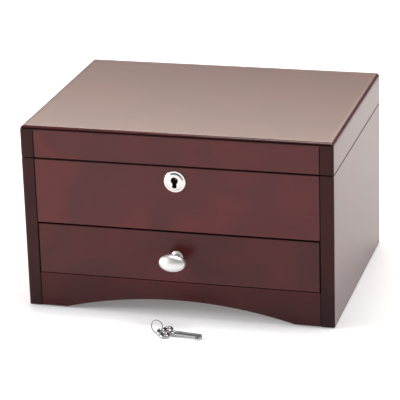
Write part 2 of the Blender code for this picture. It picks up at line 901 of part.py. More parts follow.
def hinge_leaf_mesh(name, upper):
    """A leaf about the hinge's axis at the origin: a plate to the front of it and its knuckles."""
    faces = sorted((seam_gap / 2, seam_gap / 2 + hinge_leaf_thickness))
    if not upper:
        faces = [-faces[1], -faces[0]]
    back = -hinge_axis_reach
    low = (-hinge_length / 2, back - hinge_leaf_depth, faces[0])
    leaf = board(name, low, (hinge_length / 2, back, faces[1]), "brass")
    for number, (start, end) in enumerate(knuckle_spans(upper)):
        join_box(leaf, f"hinge tab {number}", (start, back - cut_overrun, faces[0]), (end, 0, faces[1]))
        barrel = turned([(knuckle_radius, start), (knuckle_radius, end)], turn_steps, along_x)
        combine(leaf, "UNION", add_helper(f"knuckle {number}", barrel, (0, 0, 0)))
    radius = hinge_pin_radius + hinge_pin_fit
    bore = turned([(radius, -hinge_length), (radius, hinge_length)], small_turn_steps, along_x)
    combine(leaf, "DIFFERENCE", add_helper("pin bore", bore, (0, 0, 0)))
    turn = upside_down if upper else Matrix.Identity(4)
    for x, y, z in leaf_screw_places(upper):
        hole = add_helper(f"screw hole {x}", pilot_shape(turn), (x, y, z))
        combine(leaf, "DIFFERENCE", hole)
    return baked_mesh(leaf)


def leaf_screw_places(upper):
    y = -hinge_axis_reach - hinge_leaf_depth / 2
    z = seam_gap / 2 if upper else -seam_gap / 2
    return [(-hinge_screw_offset, y, z), (hinge_screw_offset, y, z)]


def hinge_pin_mesh():
    """A pin with small domed ends, along X."""
    end = hinge_length / 2 + hinge_pin_head
    start = hinge_pin_radius - hinge_pin_head
    profile = [(start, -end), (hinge_pin_radius, hinge_pin_head - end)]
    profile += [(hinge_pin_radius, end - hinge_pin_head), (start, end)]
    return mesh_of("hinge_pin", turned(profile, small_turn_steps, along_x))


def let_in_leaf(wood, centre, upper, parent):
    """Cuts the flat recess that a leaf lies in."""
    half = hinge_length / 2 + lock_fit
    low_y = back_y - hinge_leaf_depth - lock_fit
    depth = hinge_leaf_thickness + glue_line
    if upper:
        low_z, high_z = lid_bottom - cut_overrun, lid_bottom + depth
    else:
        low_z, high_z = case_top - depth, case_top + cut_overrun
    low = (centre - half, low_y, low_z)
    high = (centre + half, back_y + cut_overrun, high_z)
    cut_box(wood, f"leaf recess {wood.name} {centre}", low, high, parent)


def make_hinges(screw_mesh, back_panel, back_rail, hinge):
    lower_mesh = hinge_leaf_mesh("hinge_lower_leaf", False)
    upper_mesh = hinge_leaf_mesh("hinge_upper_leaf", True)
    pin_mesh = hinge_pin_mesh()
    for hand, sign in (("left", -1), ("right", 1)):
        centre = Vector((sign * (half_width - hinge_inset), hinge_y, seam_z))
        add_piece(f"hinge_{hand}_lower_leaf", lower_mesh, "brass", centre)
        add_piece(f"hinge_{hand}_upper_leaf", upper_mesh, "brass", centre, hinge)
        add_piece(f"hinge_{hand}_pin", pin_mesh, "steel", centre)
        let_in_leaf(back_panel, centre.x, False, None)
        let_in_leaf(back_rail, centre.x, True, hinge)
        for number, place in enumerate(leaf_screw_places(False), 1):
            name = f"hinge_{hand}_lower_screw_{number}"
            drive_screw(name, screw_mesh, centre + Vector(place), [back_panel], Matrix.Identity(4))
        for number, place in enumerate(leaf_screw_places(True), 1):
            name = f"hinge_{hand}_upper_screw_{number}"
            drive_screw(name, screw_mesh, centre + Vector(place), [back_rail], upside_down, hinge)


# Drawer


def make_knob(drawer_front, runner):
    """An oval head on a round neck and flange, bored from behind for its screw."""
    flange = knob_flange_radius
    neck_start = knob_flange_thickness + knob_neck_fillet
    rings = [
        circle(flange, 0, knob_steps),
        circle(flange, knob_flange_thickness / 2, knob_steps),
        circle(flange - knob_flange_thickness / 2, knob_flange_thickness, knob_steps),
    ]
    for step in range(round_steps + 1):
        angle = math.pi / 2 * step / round_steps
        radius = knob_neck_radius + knob_neck_fillet * (1 - math.sin(angle))
        height = neck_start - knob_neck_fillet * math.cos(angle)
        rings.append(circle(radius, height, knob_steps))
    centre = knob_reach - knob_head_depth / 2
    start = -math.acos(knob_neck_radius / (knob_tall / 2))
    for step in range(knob_head_rings + 1):
        angle = start + (knob_last_angle - start) * step / knob_head_rings
        wide = knob_width / 2 * math.cos(angle)
        tall = knob_tall / 2 * math.cos(angle)
        height = centre + knob_head_depth / 2 * math.sin(angle)
        ring = [(wide * x, tall * y, height) for x, y, _ in circle(1, 0, knob_steps)]
        rings.append(ring)
    shape = loft(rings)
    bmesh.ops.transform(shape, matrix=along_minus_y, verts=shape.verts)
    knob_z = (drawer_front_bottom + drawer_front_top) / 2 + knob_rise
    place = (0, front_y - glue_line, knob_z)
    knob = add_piece("drawer_knob", mesh_of("drawer_knob", shape), "satin nickel", place, runner)
    radius = knob_screw_radius + knob_screw_clearance
    reach = knob_screw_grip + knob_screw_clearance
    profile = [(radius, -panel_thickness - cut_overrun), (radius, reach)]
    bore = turned(profile, small_turn_steps, along_minus_y)
    helper = add_helper("knob screw bore", bore, place, runner)
    combine(knob, "DIFFERENCE", helper)
    combine(drawer_front, "DIFFERENCE", helper)
    head_edge = knob_screw_head_height / 2
    profile = [
        (knob_screw_head_radius - head_edge, -knob_screw_head_height),
        (knob_screw_head_radius, -head_edge),
        (knob_screw_head_radius, 0),
        (knob_screw_radius, 0),
        (knob_screw_radius, panel_thickness + knob_screw_grip),
    ]
    screw_shape = turned(profile, turn_steps, along_minus_y)
    place = (0, front_inner_y + glue_line, knob_z)
    screw = add_piece("knob_screw", mesh_of("knob_screw", screw_shape), "steel", place, runner)
    half_slot = screw_slot_width / 2
    low_y = front_inner_y + glue_line + knob_screw_head_height - head_edge
    low = (-knob_screw_head_radius, low_y, knob_z - half_slot)
    high = (knob_screw_head_radius, low_y + knob_screw_head_height, knob_z + half_slot)
    cut_box(screw, "knob screw slot", low, high, runner)


def make_drawer():
    """The front, two sides, back and grooved-in bottom, a lining and the knob."""
    low_z = apron_top + drawer_run_gap
    high_z = drawer_front_top - drawer_side_drop
    runner = add_pivot("drawer travel", (0, front_y, low_z))
    reach = inner_half_width - drawer_side_gap
    low = (-reach, front_y, drawer_front_bottom)
    high = (reach, front_inner_y, drawer_front_top)
    rims = [("front", (), edge_easing)]
    front = board("drawer_front", low, high, "red lacquer", runner, rims=rims)
    outer = inner_half_width - drawer_box_gap
    inner = outer - drawer_side_thickness
    box_front = front_inner_y + glue_line
    box_back = back_inner_y - drawer_back_clearance
    walls = [front]
    for hand, sign in (("left", -1), ("right", 1)):
        edges = sorted((sign * outer, sign * inner))
        low = (edges[0], box_front, low_z)
        high = (edges[1], box_back, high_z)
        rims = [("top", ("front",), edge_easing)]
        side = board(f"drawer_{hand}_side", low, high, "bare stained wood", runner, rims=rims)
        walls.append(side)
    low = (glue_line - inner, box_back - drawer_side_thickness, low_z)
    high = (inner - glue_line, box_back, high_z)
    rims = [("top", ("left", "right"), edge_easing)]
    walls.append(board("drawer_back", low, high, "bare stained wood", runner, rims=rims))
    bottom_z = low_z + drawer_bottom_rise
    let_in = groove_depth - groove_clearance
    low = Vector((-inner - let_in, front_inner_y - let_in, bottom_z))
    high = Vector((inner + let_in, box_back - drawer_side_thickness + let_in, bottom_z))
    high.z += drawer_bottom_thickness
    board("drawer_bottom", low, high, "bare stained wood", runner)
    ease = Vector((groove_clearance, groove_clearance, groove_clearance))
    low -= ease
    high += ease
    groove = add_helper("drawer groove", box_shape(low, high), middle(low, high), runner)
    for wall in walls:
        combine(wall, "DIFFERENCE", groove)
    pad_z = bottom_z + drawer_bottom_thickness + glue_line
    low = (pad_gap - inner, front_inner_y + pad_gap, pad_z)
    high = (inner - pad_gap, box_back - drawer_side_thickness - pad_gap, pad_z + pad_thickness)
    slab("drawer_lining", low, high, "ivory velvet", pad_corner, pad_thickness / 2, pad_steps, runner)
    make_knob(front, runner)


# Upper compartment


def ring_roll_mesh(length, width):
    """A padded roll along X, full in the middle and drawn in at both ends."""

    def section(x, scale):
        points = []
        for side in range(roll_sides):
            angle = 2 * math.pi * side / roll_sides
            across = math.copysign(abs(math.cos(angle)) ** roll_fullness_share, math.cos(angle))
            rise = math.copysign(abs(math.sin(angle)) ** roll_fullness_share, math.sin(angle))
            points.append((x, scale * across * width / 2, scale * rise * ring_roll_height / 2))
        return points

    stations = []
    for step in range(roll_end_rings + 1):
        angle = math.pi / 2 * step / roll_end_rings
        x = ring_roll_draw_in * (1 - math.cos(angle)) - length / 2
        scale = ring_roll_end_share + (1 - ring_roll_end_share) * math.sin(angle)
        stations.append((x, scale))
    stations += [(-x, scale) for x, scale in reversed(stations)]
    return mesh_of("ring_roll", loft([section(x, scale) for x, scale in stations]))


def make_compartment():
    """The lining, three dividers and a bank of ring rolls on the compartment's floor."""
    low = (pad_gap - inner_half_width, front_inner_y + pad_gap, compartment_floor_top + glue_line)
    high = (inner_half_width - pad_gap, back_inner_y - pad_gap, lining_top)
    rounding = pad_thickness / 2
    slab("compartment_lining", low, high, "ivory velvet", pad_corner, rounding, pad_steps)
    base = lining_top + glue_line
    split_y = low[1] + ring_roll_count * ring_roll_pitch + pad_gap
    behind_y = split_y + divider_thickness
    bank_end = low[0] + ring_bank_width
    dividers = {
        "long_divider": (low[0], high[0], split_y, behind_y),
        "front_divider": (bank_end, bank_end + divider_thickness, low[1], split_y - pad_gap),
        "back_divider": (
            back_divider_offset,
            back_divider_offset + divider_thickness,
            behind_y + pad_gap,
            high[1],
        ),
    }
    for name, (left, right, near, far) in dividers.items():
        top = case_top - divider_drop
        rims = [("top", (), edge_easing)]
        board(name, (left, near, base), (right, far, top), "ivory velvet", rims=rims)
    length = ring_bank_width - 2 * pad_gap
    mesh = ring_roll_mesh(length, ring_roll_pitch - pad_gap)
    centre_x = low[0] + ring_bank_width / 2
    for number in range(ring_roll_count):
        y = low[1] + ring_roll_pitch * (number + 1 / 2)
        place = (centre_x, y, base + ring_roll_height / 2)
        add_piece(f"ring_roll_{number + 1}", mesh, "ivory velvet", place)


# Key and ring


def make_key():
    """A hollow barrel key with a bead, a bit and a bow of three open lobes, lying on its side."""
    place = (key_side, front_y - key_distance, key_bead_radius)
    rest = add_pivot("key rest", place, (key_tilt, key_pitch, key_yaw))
    profile = [(bow_hub_radius, -bow_distance - bow_hub_radius)]
    profile.append((bow_hub_radius, -key_bead_half_length * 2))
    for step in range(round_steps * 2 + 1):
        angle = math.pi * step / (round_steps * 2)
        radius = key_shaft_radius + (key_bead_radius - key_shaft_radius) * math.sin(angle)
        profile.append((radius, -key_bead_half_length * math.cos(angle)))
    profile += [
        (key_shaft_radius, key_shaft_length - key_tip_easing),
        (key_shaft_radius - key_tip_easing, key_shaft_length),
        (key_bore_radius, key_shaft_length),
        (key_bore_radius, key_shaft_length - key_bore_depth),
    ]
    mesh = mesh_of("key", turned(profile, turn_steps, along_x))
    key = bpy.data.objects.new("key", mesh)
    bpy.context.scene.collection.objects.link(key)
    key.parent = rest
    mesh.materials.append(new_material("key", "polished nickel"))
    lobes = {
        "far lobe": (-bow_distance, bow_lobe_spread),
        "near lobe": (-bow_distance, -bow_lobe_spread),
        "end lobe": (-bow_distance - bow_lobe_spread, 0),
    }
    helpers = []
    for name, (x, y) in lobes.items():
        shape = wire_ring(bow_lobe_radius, bow_wire_radius, lobe_steps, lobe_sides)
        helpers.append(add_helper(name, shape, (x, y, 0)))
    wall_middle = (key_bore_radius + key_shaft_radius) / 2
    bit_end = key_shaft_length - bit_setback
    low = (bit_end - bit_length, -bit_reach, -bit_thickness / 2)
    high = (bit_end, -wall_middle, bit_thickness / 2)
    helpers.append(add_helper("bit", box_shape(low, high), middle(low, high)))
    for helper in helpers:
        helper.parent = rest
        combine(key, "UNION", helper)
    return rest


def make_key_ring(rest):
    """A wire ring through the bow's end lobe. It stands leaning back, and tips about its pivot."""
    centre_z = ring_floor_gap + ring_wire_radius + ring_radius * math.cos(ring_lean)
    drop = (centre_z - end_lobe_z) / math.cos(ring_lean)
    reach = math.sqrt(ring_radius**2 - drop**2)
    bow_end = bow_distance + bow_lobe_spread
    lobe_x = key_side - bow_end * math.cos(key_yaw)
    lobe_y = front_y - key_distance - bow_end * math.sin(key_yaw)
    place = (
        lobe_x - reach * math.cos(ring_heading),
        lobe_y - reach * math.sin(ring_heading),
        end_lobe_z,
    )
    pivot = add_pivot("key ring pivot", place, (math.pi / 2 - ring_lean, 0, ring_heading))
    shape = wire_ring(ring_radius, ring_wire_radius, ring_steps, ring_sides)
    bmesh.ops.translate(shape, vec=(0, drop, 0), verts=shape.verts)
    mesh = mesh_of("key_ring", shape)
    ring = bpy.data.objects.new("key_ring", mesh)
    bpy.context.scene.collection.objects.link(ring)
    ring.parent = pivot
    mesh.materials.append(new_material("key_ring", "polished nickel"))
    bpy.context.view_layer.update()
    pivot.parent = rest
    pivot.matrix_parent_inverse = rest.matrix_world.inverted()


def build_chest():
    screw_mesh = wood_screw_mesh()
    lid_hinge = add_pivot("lid hinge axis", (0, hinge_y, seam_z))
    back_panel = make_case()
    front_panel = make_front_panel()
    make_escutcheon()
    make_lock_case(screw_mesh, front_panel)
    make_drill_pin()
    make_bolt()
    front_rail, back_rail = make_lid(lid_hinge)
    make_strike_plate(screw_mesh, front_rail, lid_hinge)
    make_hinges(screw_mesh, back_panel, back_rail, lid_hinge)
    make_drawer()
    make_compartment()
    make_key_ring(make_key())


build_chest()
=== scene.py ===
import json
import math

import bmesh
import bpy
from mathutils import Matrix, Vector, noise


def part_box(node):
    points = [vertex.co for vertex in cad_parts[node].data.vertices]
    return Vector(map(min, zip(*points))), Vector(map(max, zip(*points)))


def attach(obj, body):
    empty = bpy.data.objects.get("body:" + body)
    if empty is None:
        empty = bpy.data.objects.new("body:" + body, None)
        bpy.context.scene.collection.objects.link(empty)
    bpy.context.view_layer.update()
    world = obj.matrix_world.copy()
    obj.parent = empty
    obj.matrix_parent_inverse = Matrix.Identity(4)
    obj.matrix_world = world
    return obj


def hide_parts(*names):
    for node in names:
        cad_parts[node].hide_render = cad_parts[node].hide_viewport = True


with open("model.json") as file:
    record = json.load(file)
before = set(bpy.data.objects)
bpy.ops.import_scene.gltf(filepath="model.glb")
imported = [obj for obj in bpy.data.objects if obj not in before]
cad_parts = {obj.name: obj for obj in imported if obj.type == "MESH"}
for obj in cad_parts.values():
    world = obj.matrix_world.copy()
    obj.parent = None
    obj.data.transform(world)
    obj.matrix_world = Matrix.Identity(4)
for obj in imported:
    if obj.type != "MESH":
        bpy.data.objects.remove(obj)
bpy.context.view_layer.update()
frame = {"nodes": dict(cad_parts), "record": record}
record = frame["record"]
scene = bpy.context.scene
mm = 0.001
quarterTurn = math.pi / 2
seamGap = 0.08  # mm between two glued boards
crispEdge = 35  # degrees between two faces from which their edge stays crisp
squareOn = 0.99  # share of its normal along an axis from which a face counts as square to it
arrisLean = 0.3  # share of its normal along each of two axes that makes a face the arris between them
hair = 0.05  # mm of margin when faces are picked by their place
sideNormals = {
    "left": Vector((-1, 0, 0)),
    "right": Vector((1, 0, 0)),
    "front": Vector((0, -1, 0)),
    "back": Vector((0, 1, 0)),
    "bottom": Vector((0, 0, -1)),
    "top": Vector((0, 0, 1)),
}
alongX = Matrix.Rotation(quarterTurn, 4, "Y")
towardsFront = Matrix.Rotation(quarterTurn, 4, "X")


def evenSteps(start, reach, steps):
    # values from start to start + reach, both included
    return [start + reach * i / steps for i in range(steps + 1)]


def middleOf(low, high):
    # the centre of a box and half its size
    return (low + high) / 2, (high - low) / 2


def backOf(low, high):
    # the centre of a box's back face, where a fitting sits on its board
    return Vector(((low.x + high.x) / 2, high.y, (low.z + high.z) / 2))


def addObject(name, data):
    item = bpy.data.objects.new(name, data)
    scene.collection.objects.link(item)
    return item


def smoothShading(mesh, sharpDegrees=crispEdge):
    mesh.shade_smooth()
    mesh.set_sharp_from_angle(angle=math.radians(sharpDegrees))


def newPiece(name, bm, material, sharpDegrees=crispEdge):
    bmesh.ops.recalc_face_normals(bm, faces=bm.faces)
    mesh = bpy.data.meshes.new(name)
    bm.to_mesh(mesh)
    bm.free()
    smoothShading(mesh, sharpDegrees)
    mesh.materials.append(material)
    return addObject(name, mesh)


def fitPiece(piece, body, slotName, *replaced):
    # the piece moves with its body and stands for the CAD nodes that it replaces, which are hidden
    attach(piece, body)
    if replaced:
        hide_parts(*replaced)


def boxMesh(low, high):
    bm = bmesh.new()
    low, high = Vector(low), Vector(high)
    place = Matrix.Translation((low + high) / 2) @ Matrix.Diagonal((*(high - low), 1))
    bmesh.ops.create_cube(bm, size=1, matrix=place)
    bm.normal_update()
    return bm


def addBand(bm, lower, upper):
    # faces between two closed rows of points
    for corners in zip(lower, lower[1:] + lower[:1], upper[1:] + upper[:1], upper):
        bm.faces.new(corners)


def loft(rings, closed=False):
    # a solid skin through rings with the same number of points
    bm = bmesh.new()
    loops = [[bm.verts.new(point) for point in ring] for ring in rings]
    for lower, upper in zip(loops, loops[1:]):
        addBand(bm, lower, upper)
    if closed:
        addBand(bm, loops[-1], loops[0])
    else:
        bm.faces.new(list(reversed(loops[0])))
        bm.faces.new(loops[-1])
    return bm


def circlePoints(radius, height, steps):
    angles = evenSteps(0, 2 * math.pi, steps)[:-1]
    return [(radius * math.cos(a), radius * math.sin(a), height) for a in angles]


def lathe(profile, steps, turn=Matrix.Identity(4), closed=False):
    bm = loft([circlePoints(radius, height, steps) for radius, height in profile], closed)
    bmesh.ops.transform(bm, matrix=turn, verts=bm.verts)
    return bm


def roundedOutline(halfX, halfY, radius, height, steps):
    points = []
    for quarter in range(4):
        centreX = (halfX - radius) * (1 if quarter in (0, 3) else -1)
        centreY = (halfY - radius) * (1 if quarter in (0, 1) else -1)
        for i in range(steps + 1):
            a = quarterTurn * (quarter + i / steps)
            points.append((centreX + radius * math.cos(a), centreY + radius * math.sin(a), height))
    return points


def looksTo(face, side):
    return face.normal.dot(sideNormals[side]) > 0.9998  # within about a degree


def edgesBetween(bm, first, second):
    def borders(edge, side):
        return any(looksTo(face, side) for face in edge.link_faces)

    return [edge for edge in bm.edges if borders(edge, first) and borders(edge, second)]


def easeEdges(bm, edges, width, steps):
    bmesh.ops.bevel(bm, geom=edges, offset=width, segments=steps, profile=0.5, affect="EDGES")
    bm.normal_update()


def applied(piece):
    # the piece with its modifiers made real
    graph = bpy.context.evaluated_depsgraph_get()
    mesh = bpy.data.meshes.new_from_object(piece.evaluated_get(graph))
    piece.modifiers.clear()
    old, piece.data = piece.data, mesh
    bpy.data.meshes.remove(old)
    return piece


def combineWith(piece, bm, operation="DIFFERENCE"):
    helper = newPiece(piece.name + "Helper", bm, piece.data.materials[0])
    modifier = piece.modifiers.new("combine", "BOOLEAN")
    modifier.operation = operation
    modifier.solver = "EXACT"
    modifier.object = helper
    bpy.context.view_layer.update()
    applied(piece)
    bpy.data.objects.remove(helper, do_unlink=True)


def addRemesh(piece, voxel):
    modifier = piece.modifiers.new("oneSkin", "REMESH")
    modifier.mode, modifier.voxel_size = "VOXEL", voxel


def steadyFaces(piece):
    # wide flat faces keep their own normal, so an eased edge doesn't shade across the whole board
    modifier = piece.modifiers.new("steadyFaces", "WEIGHTED_NORMAL")
    modifier.keep_sharp, modifier.weight = True, 100
    return applied(piece)


cleaning = {
    "weld": 0.002,  # mm between two points that become one
    "flatDegrees": 0.3,  # between two faces that become one
}


def cleanCopy(node, name, material):
    # the CAD shape with its triangles merged, so that round parts shade as round
    bm = bmesh.new()
    bm.from_mesh(frame["nodes"][node].data)
    bmesh.ops.remove_doubles(bm, verts=bm.verts, dist=cleaning["weld"] * mm)
    flat = math.radians(cleaning["flatDegrees"])
    bmesh.ops.dissolve_limit(bm, angle_limit=flat, verts=bm.verts, edges=bm.edges)
    return steadyFaces(newPiece(name, bm, material))


def paintFaces(piece, material, chosen):
    # a second finish on the faces that chosen(normal, centre) picks
    piece.data.materials.append(material)
    number = len(piece.data.materials) - 1
    for face in piece.data.polygons:
        if chosen(face.normal, face.center):
            face.material_index = number


def dress(node, material):
    # a CAD node that keeps its own shape
    for materialSlot in frame["nodes"][node].material_slots:
        materialSlot.link = "OBJECT"
        materialSlot.material = material


def linear(hexColour):
    # sRGB hex to the linear colour that a shader takes
    values = [int(hexColour[i : i + 2], 16) / 255 for i in (1, 3, 5)]
    return (*[v / 12.92 if v <= 0.04045 else ((v + 0.055) / 1.055) ** 2.4 for v in values], 1.0)


def feed(tree, node, inputs):
    # gives a node's inputs their values and links; a node stands for its first output
    for name, value in inputs.items():
        if isinstance(value, bpy.types.Node):
            value = value.outputs[0]
        if isinstance(value, bpy.types.NodeSocket):
            tree.links.new(value, node.inputs[name])
        else:
            node.inputs[name].default_value = value


def addNode(tree, kind, inputs=None, stops=(), **settings):
    node = tree.nodes.new("ShaderNode" + kind)
    for name, value in settings.items():
        setattr(node, name, value)
    feed(tree, node, inputs or {})
    if stops:  # place and hex colour of each stop of a ramp, from its low end up
        elements = node.color_ramp.elements
        for position, _ in stops[1:-1]:
            elements.new(position)
        for element, (position, hexColour) in zip(elements, stops):
            element.position, element.color = position, linear(hexColour)
    return node


def startMaterial(name, **shaderSettings):
    material = bpy.data.materials.new(name)
    material.use_nodes = True
    tree = material.node_tree
    shader = tree.nodes["Principled BSDF"]
    feed(tree, shader, {socket.replace("_", " "): value for socket, value in shaderSettings.items()})
    return material, tree, shader


def grainNoise(tree, place, axis, look):
    # noise drawn out along the grain
    scale = [1 / (look["grainWidth"] * mm)] * 3
    scale["xyz".index(axis)] = 1 / (look["grainLength"] * mm)
    along = addNode(tree, "Mapping", {"Vector": place, "Scale": scale})
    fine = {"Scale": 1.0, "Detail": look["grainDetail"], "Roughness": look["grainRoughness"]}
    return addNode(tree, "TexNoise", {"Vector": along, **fine})


def spreadAround(middle, spread):
    # noise seldom leaves 0.3 to 0.7; this spreads it to both sides of a middle value
    return {"From Min": 0.3, "From Max": 0.7, "To Min": middle - spread, "To Max": middle + spread}


# Mahogany-stained board under a satin sprayed lacquer: the stain lies in soft clouds over faint grain and
# the filled pores leave the film smooth, so the face carries a blurred veil of whatever stands before it.
lacquerLook = {
    "darkCloud": "#4a1d20",
    "stain": "#551f20",
    "redCloud": "#612221",
    "cloudStops": (0.22, 0.5, 0.78),  # noise values that take these three colours
    "cloudSize": 55,  # mm across a cloud of stain
    "cloudDetail": 1.5,
    "cloudRoughness": 0.45,
    "cloudTwist": 0.8,
    "grainWidth": 1.3,  # mm; real pores are 0.2 mm, drawn coarser so that the render shows them
    "grainLength": 70,  # mm
    "grainDetail": 3.0,
    "grainRoughness": 0.55,
    "grainStrength": 0.05,
    "roughness": 0.25,
    "roughnessSpread": 0.008,
    "filmRipple": 4.0,  # mm between the low waves of a sprayed film
    "rippleStrength": 0.05,
    "poreStrength": 0.035,
    "filmDepth": 0.05,  # mm from the bottom of a pore or wave to the top of the film
    "footTone": 0.55,  # what the painted shade leaves of the stain's brightness at the ground
    "footReach": 60,  # mm up from the ground where the painted shade ends
}


def paintedShadeAtFoot(tree, place, colour):
    # painted shade: the colour darkens towards the foot of the chest
    height = addNode(tree, "SeparateXYZ", {"Vector": place}).outputs["Z"]
    fade = addNode(
        tree, "MapRange",
        {"Value": height, "From Max": lacquerLook["footReach"] * mm, "To Min": lacquerLook["footTone"]},
        interpolation_type="SMOOTHSTEP",
    )
    return addNode(tree, "VectorMath", {0: colour, "Scale": fade}, operation="SCALE")


def lacqueredMahogany(name, grainAxis, shift, depth, gloss, shadedAtFoot=False):
    # shift moves the figure, in metres, so that no two boards match; depth scales the stain's brightness
    look = lacquerLook
    material, tree, shader = startMaterial(name, Metallic=0.0, IOR=1.5, Specular_IOR_Level=gloss)
    place = addNode(tree, "TexCoord").outputs["Object"]
    moved = addNode(tree, "VectorMath", {0: place, 1: shift}, operation="ADD")
    grain = grainNoise(tree, moved, grainAxis, look)
    clouds = addNode(
        tree, "TexNoise",
        {"Vector": moved, "Scale": 1 / (look["cloudSize"] * mm), "Detail": look["cloudDetail"],
         "Roughness": look["cloudRoughness"], "Distortion": look["cloudTwist"]},
    )
    colours = (look["darkCloud"], look["stain"], look["redCloud"])
    stain = addNode(tree, "ValToRGB", {"Fac": clouds}, stops=tuple(zip(look["cloudStops"], colours)))
    stain.color_ramp.interpolation = "B_SPLINE"
    shades = spreadAround(depth, depth * look["grainStrength"])
    fine = addNode(tree, "MapRange", {"Value": grain, **shades})
    colour = addNode(tree, "VectorMath", {0: stain, "Scale": fine}, operation="SCALE")
    # painted shade: the stain darkens towards the foot
    if shadedAtFoot:
        colour = paintedShadeAtFoot(tree, place, colour)
    haze = spreadAround(look["roughness"], look["roughnessSpread"])
    dull = addNode(tree, "MapRange", {"Value": grain, **haze})
    waves = 1 / (look["filmRipple"] * mm)
    ripple = addNode(tree, "TexNoise", {"Vector": moved, "Scale": waves, "Detail": 1.0})
    drop = look["filmDepth"] * mm
    film = addNode(tree, "Bump", {"Height": ripple, "Strength": look["rippleStrength"], "Distance": drop})
    pores = addNode(
        tree, "Bump", {"Height": grain, "Strength": look["poreStrength"], "Distance": drop, "Normal": film}
    )
    feed(tree, shader, {"Base Color": colour, "Roughness": dull, "Normal": pores})
    return material


# End grain under the same lacquer drinks more stain and film, so it goes dark and dull; dark arrises are
# painted shade.
endGrainLook = {
    "ringSpacing": 1.5,  # mm between growth rings seen end on
    "patchSize": 38,  # mm across a darker patch
    "detail": 2.0,
    "ringShare": 0.3,  # how much of the colour follows the rings, the rest the patches
    "stops": (0.36, 0.66),  # noise values that take the dark and the light stain
    "poreStrength": 0.1,
    "poreDepth": 0.05,  # mm
}


def endGrainAndGapShade(name, colours, roughness, gloss):
    look = endGrainLook
    material, tree, shader = startMaterial(
        name, Metallic=0.0, Roughness=roughness, IOR=1.5, Specular_IOR_Level=gloss
    )
    place = addNode(tree, "TexCoord").outputs["Object"]
    rings, patches = [
        addNode(tree, "TexNoise", {"Vector": place, "Scale": 1 / (size * mm), "Detail": look["detail"]})
        for size in (look["ringSpacing"], look["patchSize"])
    ]
    both = addNode(tree, "Mix", {"Factor": look["ringShare"], "A": patches, "B": rings}, data_type="FLOAT")
    stain = addNode(tree, "ValToRGB", {"Fac": both}, stops=tuple(zip(look["stops"], colours)))
    pores = addNode(
        tree, "Bump", {"Height": rings, "Strength": look["poreStrength"], "Distance": look["poreDepth"] * mm}
    )
    # painted shade: the stain darkens towards the foot
    feed(tree, shader, {"Base Color": paintedShadeAtFoot(tree, place, stain), "Normal": pores})
    return material


# Sealed plywood and poplar inside, brushed with the same stain: duller, its open pores short dark flecks.
sealedLook = {
    "stops": ((0.36, "#4a2321"), (0.66, "#6b3a33")),
    "grainWidth": 0.9,  # mm; real pores are 0.2 mm, drawn coarser so that the render shows them
    "grainLength": 26,  # mm
    "grainDetail": 4.0,
    "grainRoughness": 0.6,
    "poreStrength": 0.35,
    "poreDepth": 0.1,  # mm
}


def sealedWood(name, grainAxis):
    look = sealedLook
    material, tree, shader = startMaterial(name, Metallic=0.0, Roughness=0.6, IOR=1.45)
    place = addNode(tree, "TexCoord").outputs["Object"]
    grain = grainNoise(tree, place, grainAxis, look)
    stain = addNode(tree, "ValToRGB", {"Fac": grain}, stops=look["stops"])
    pores = addNode(
        tree, "Bump", {"Height": grain, "Strength": look["poreStrength"], "Distance": look["poreDepth"] * mm}
    )
    feed(tree, shader, {"Base Color": stain, "Normal": pores})
    return material


# Plated metals, polished or brushed: the plate copies the finish below it, so only haze and marks vary.
metalLook = {
    "brushStretch": 14,  # how many times longer than wide the marks of a brushed plate are
    "grainDetail": 3.0,
    "grainRoughness": 0.6,
    "markDepth": 0.02,  # mm
}


def platedMetal(name, colour, roughness, spread, markSize, bump, brushedAlong=None):
    # markSize in mm; the roughness varies by spread to both sides
    material, tree, shader = startMaterial(name, Metallic=1.0, Base_Color=linear(colour))
    place = addNode(tree, "TexCoord").outputs["Object"]
    markLength = markSize * (metalLook["brushStretch"] if brushedAlong else 1)
    sizes = {"grainWidth": markSize, "grainLength": markLength}
    marks = grainNoise(tree, place, brushedAlong or "x", {**metalLook, **sizes})
    haze = addNode(tree, "MapRange", {"Value": marks, **spreadAround(roughness, spread)})
    waves = addNode(
        tree, "Bump", {"Height": marks, "Strength": bump, "Distance": metalLook["markDepth"] * mm}
    )
    feed(tree, shader, {"Roughness": haze, "Normal": waves})
    return material


# Short-pile velvet glued over board or wadding: the pile leans in light and dark patches, its rim is soft.
velvetLook = {
    "stops": ((0.38, "#c2af8d"), (0.6, "#d3c2a1")),
    "rim": "#f2e6cf",
    "rimStrength": 0.55,
    "rimRoughness": 0.35,
    "leanSize": 24,  # mm across a patch that leans one way
    "leanTwist": 0.4,
    "tuftSpacing": 0.7,  # mm; single tufts are 0.15 mm apart, drawn coarser so that the render shows them
    "tuftShare": 0.35,
    "detail": 2.0,
    "napStrength": 0.5,
    "napDepth": 0.25,  # mm
}


def pileVelvet(name):
    look = velvetLook
    material, tree, shader = startMaterial(
        name, Metallic=0.0, Roughness=0.95, IOR=1.4, Specular_IOR_Level=0.2,
        Sheen_Weight=look["rimStrength"], Sheen_Roughness=look["rimRoughness"],
        Sheen_Tint=linear(look["rim"]),
    )
    place = addNode(tree, "TexCoord").outputs["Object"]
    pattern = {"Vector": place, "Detail": look["detail"]}
    lean, tufts = [
        addNode(tree, "TexNoise", {**pattern, "Scale": 1 / (size * mm), "Distortion": twist})
        for size, twist in ((look["leanSize"], look["leanTwist"]), (look["tuftSpacing"], 0.0))
    ]
    both = addNode(tree, "Mix", {"Factor": look["tuftShare"], "A": lean, "B": tufts}, data_type="FLOAT")
    shade = addNode(tree, "ValToRGB", {"Fac": both}, stops=look["stops"])
    nap = addNode(
        tree, "Bump", {"Height": tufts, "Strength": look["napStrength"], "Distance": look["napDepth"] * mm}
    )
    feed(tree, shader, {"Base Color": shade, "Normal": nap})
    return material


# Float glass silvered on its back: a clean, nearly colourless reflection, a trace greener in places.
glassLook = {
    "stops": ((0.35, "#e6ecea"), (0.65, "#eef1f1")),
    "filmSize": 40,  # mm across a faint change of the silver film
    "roughness": 0.03,
}


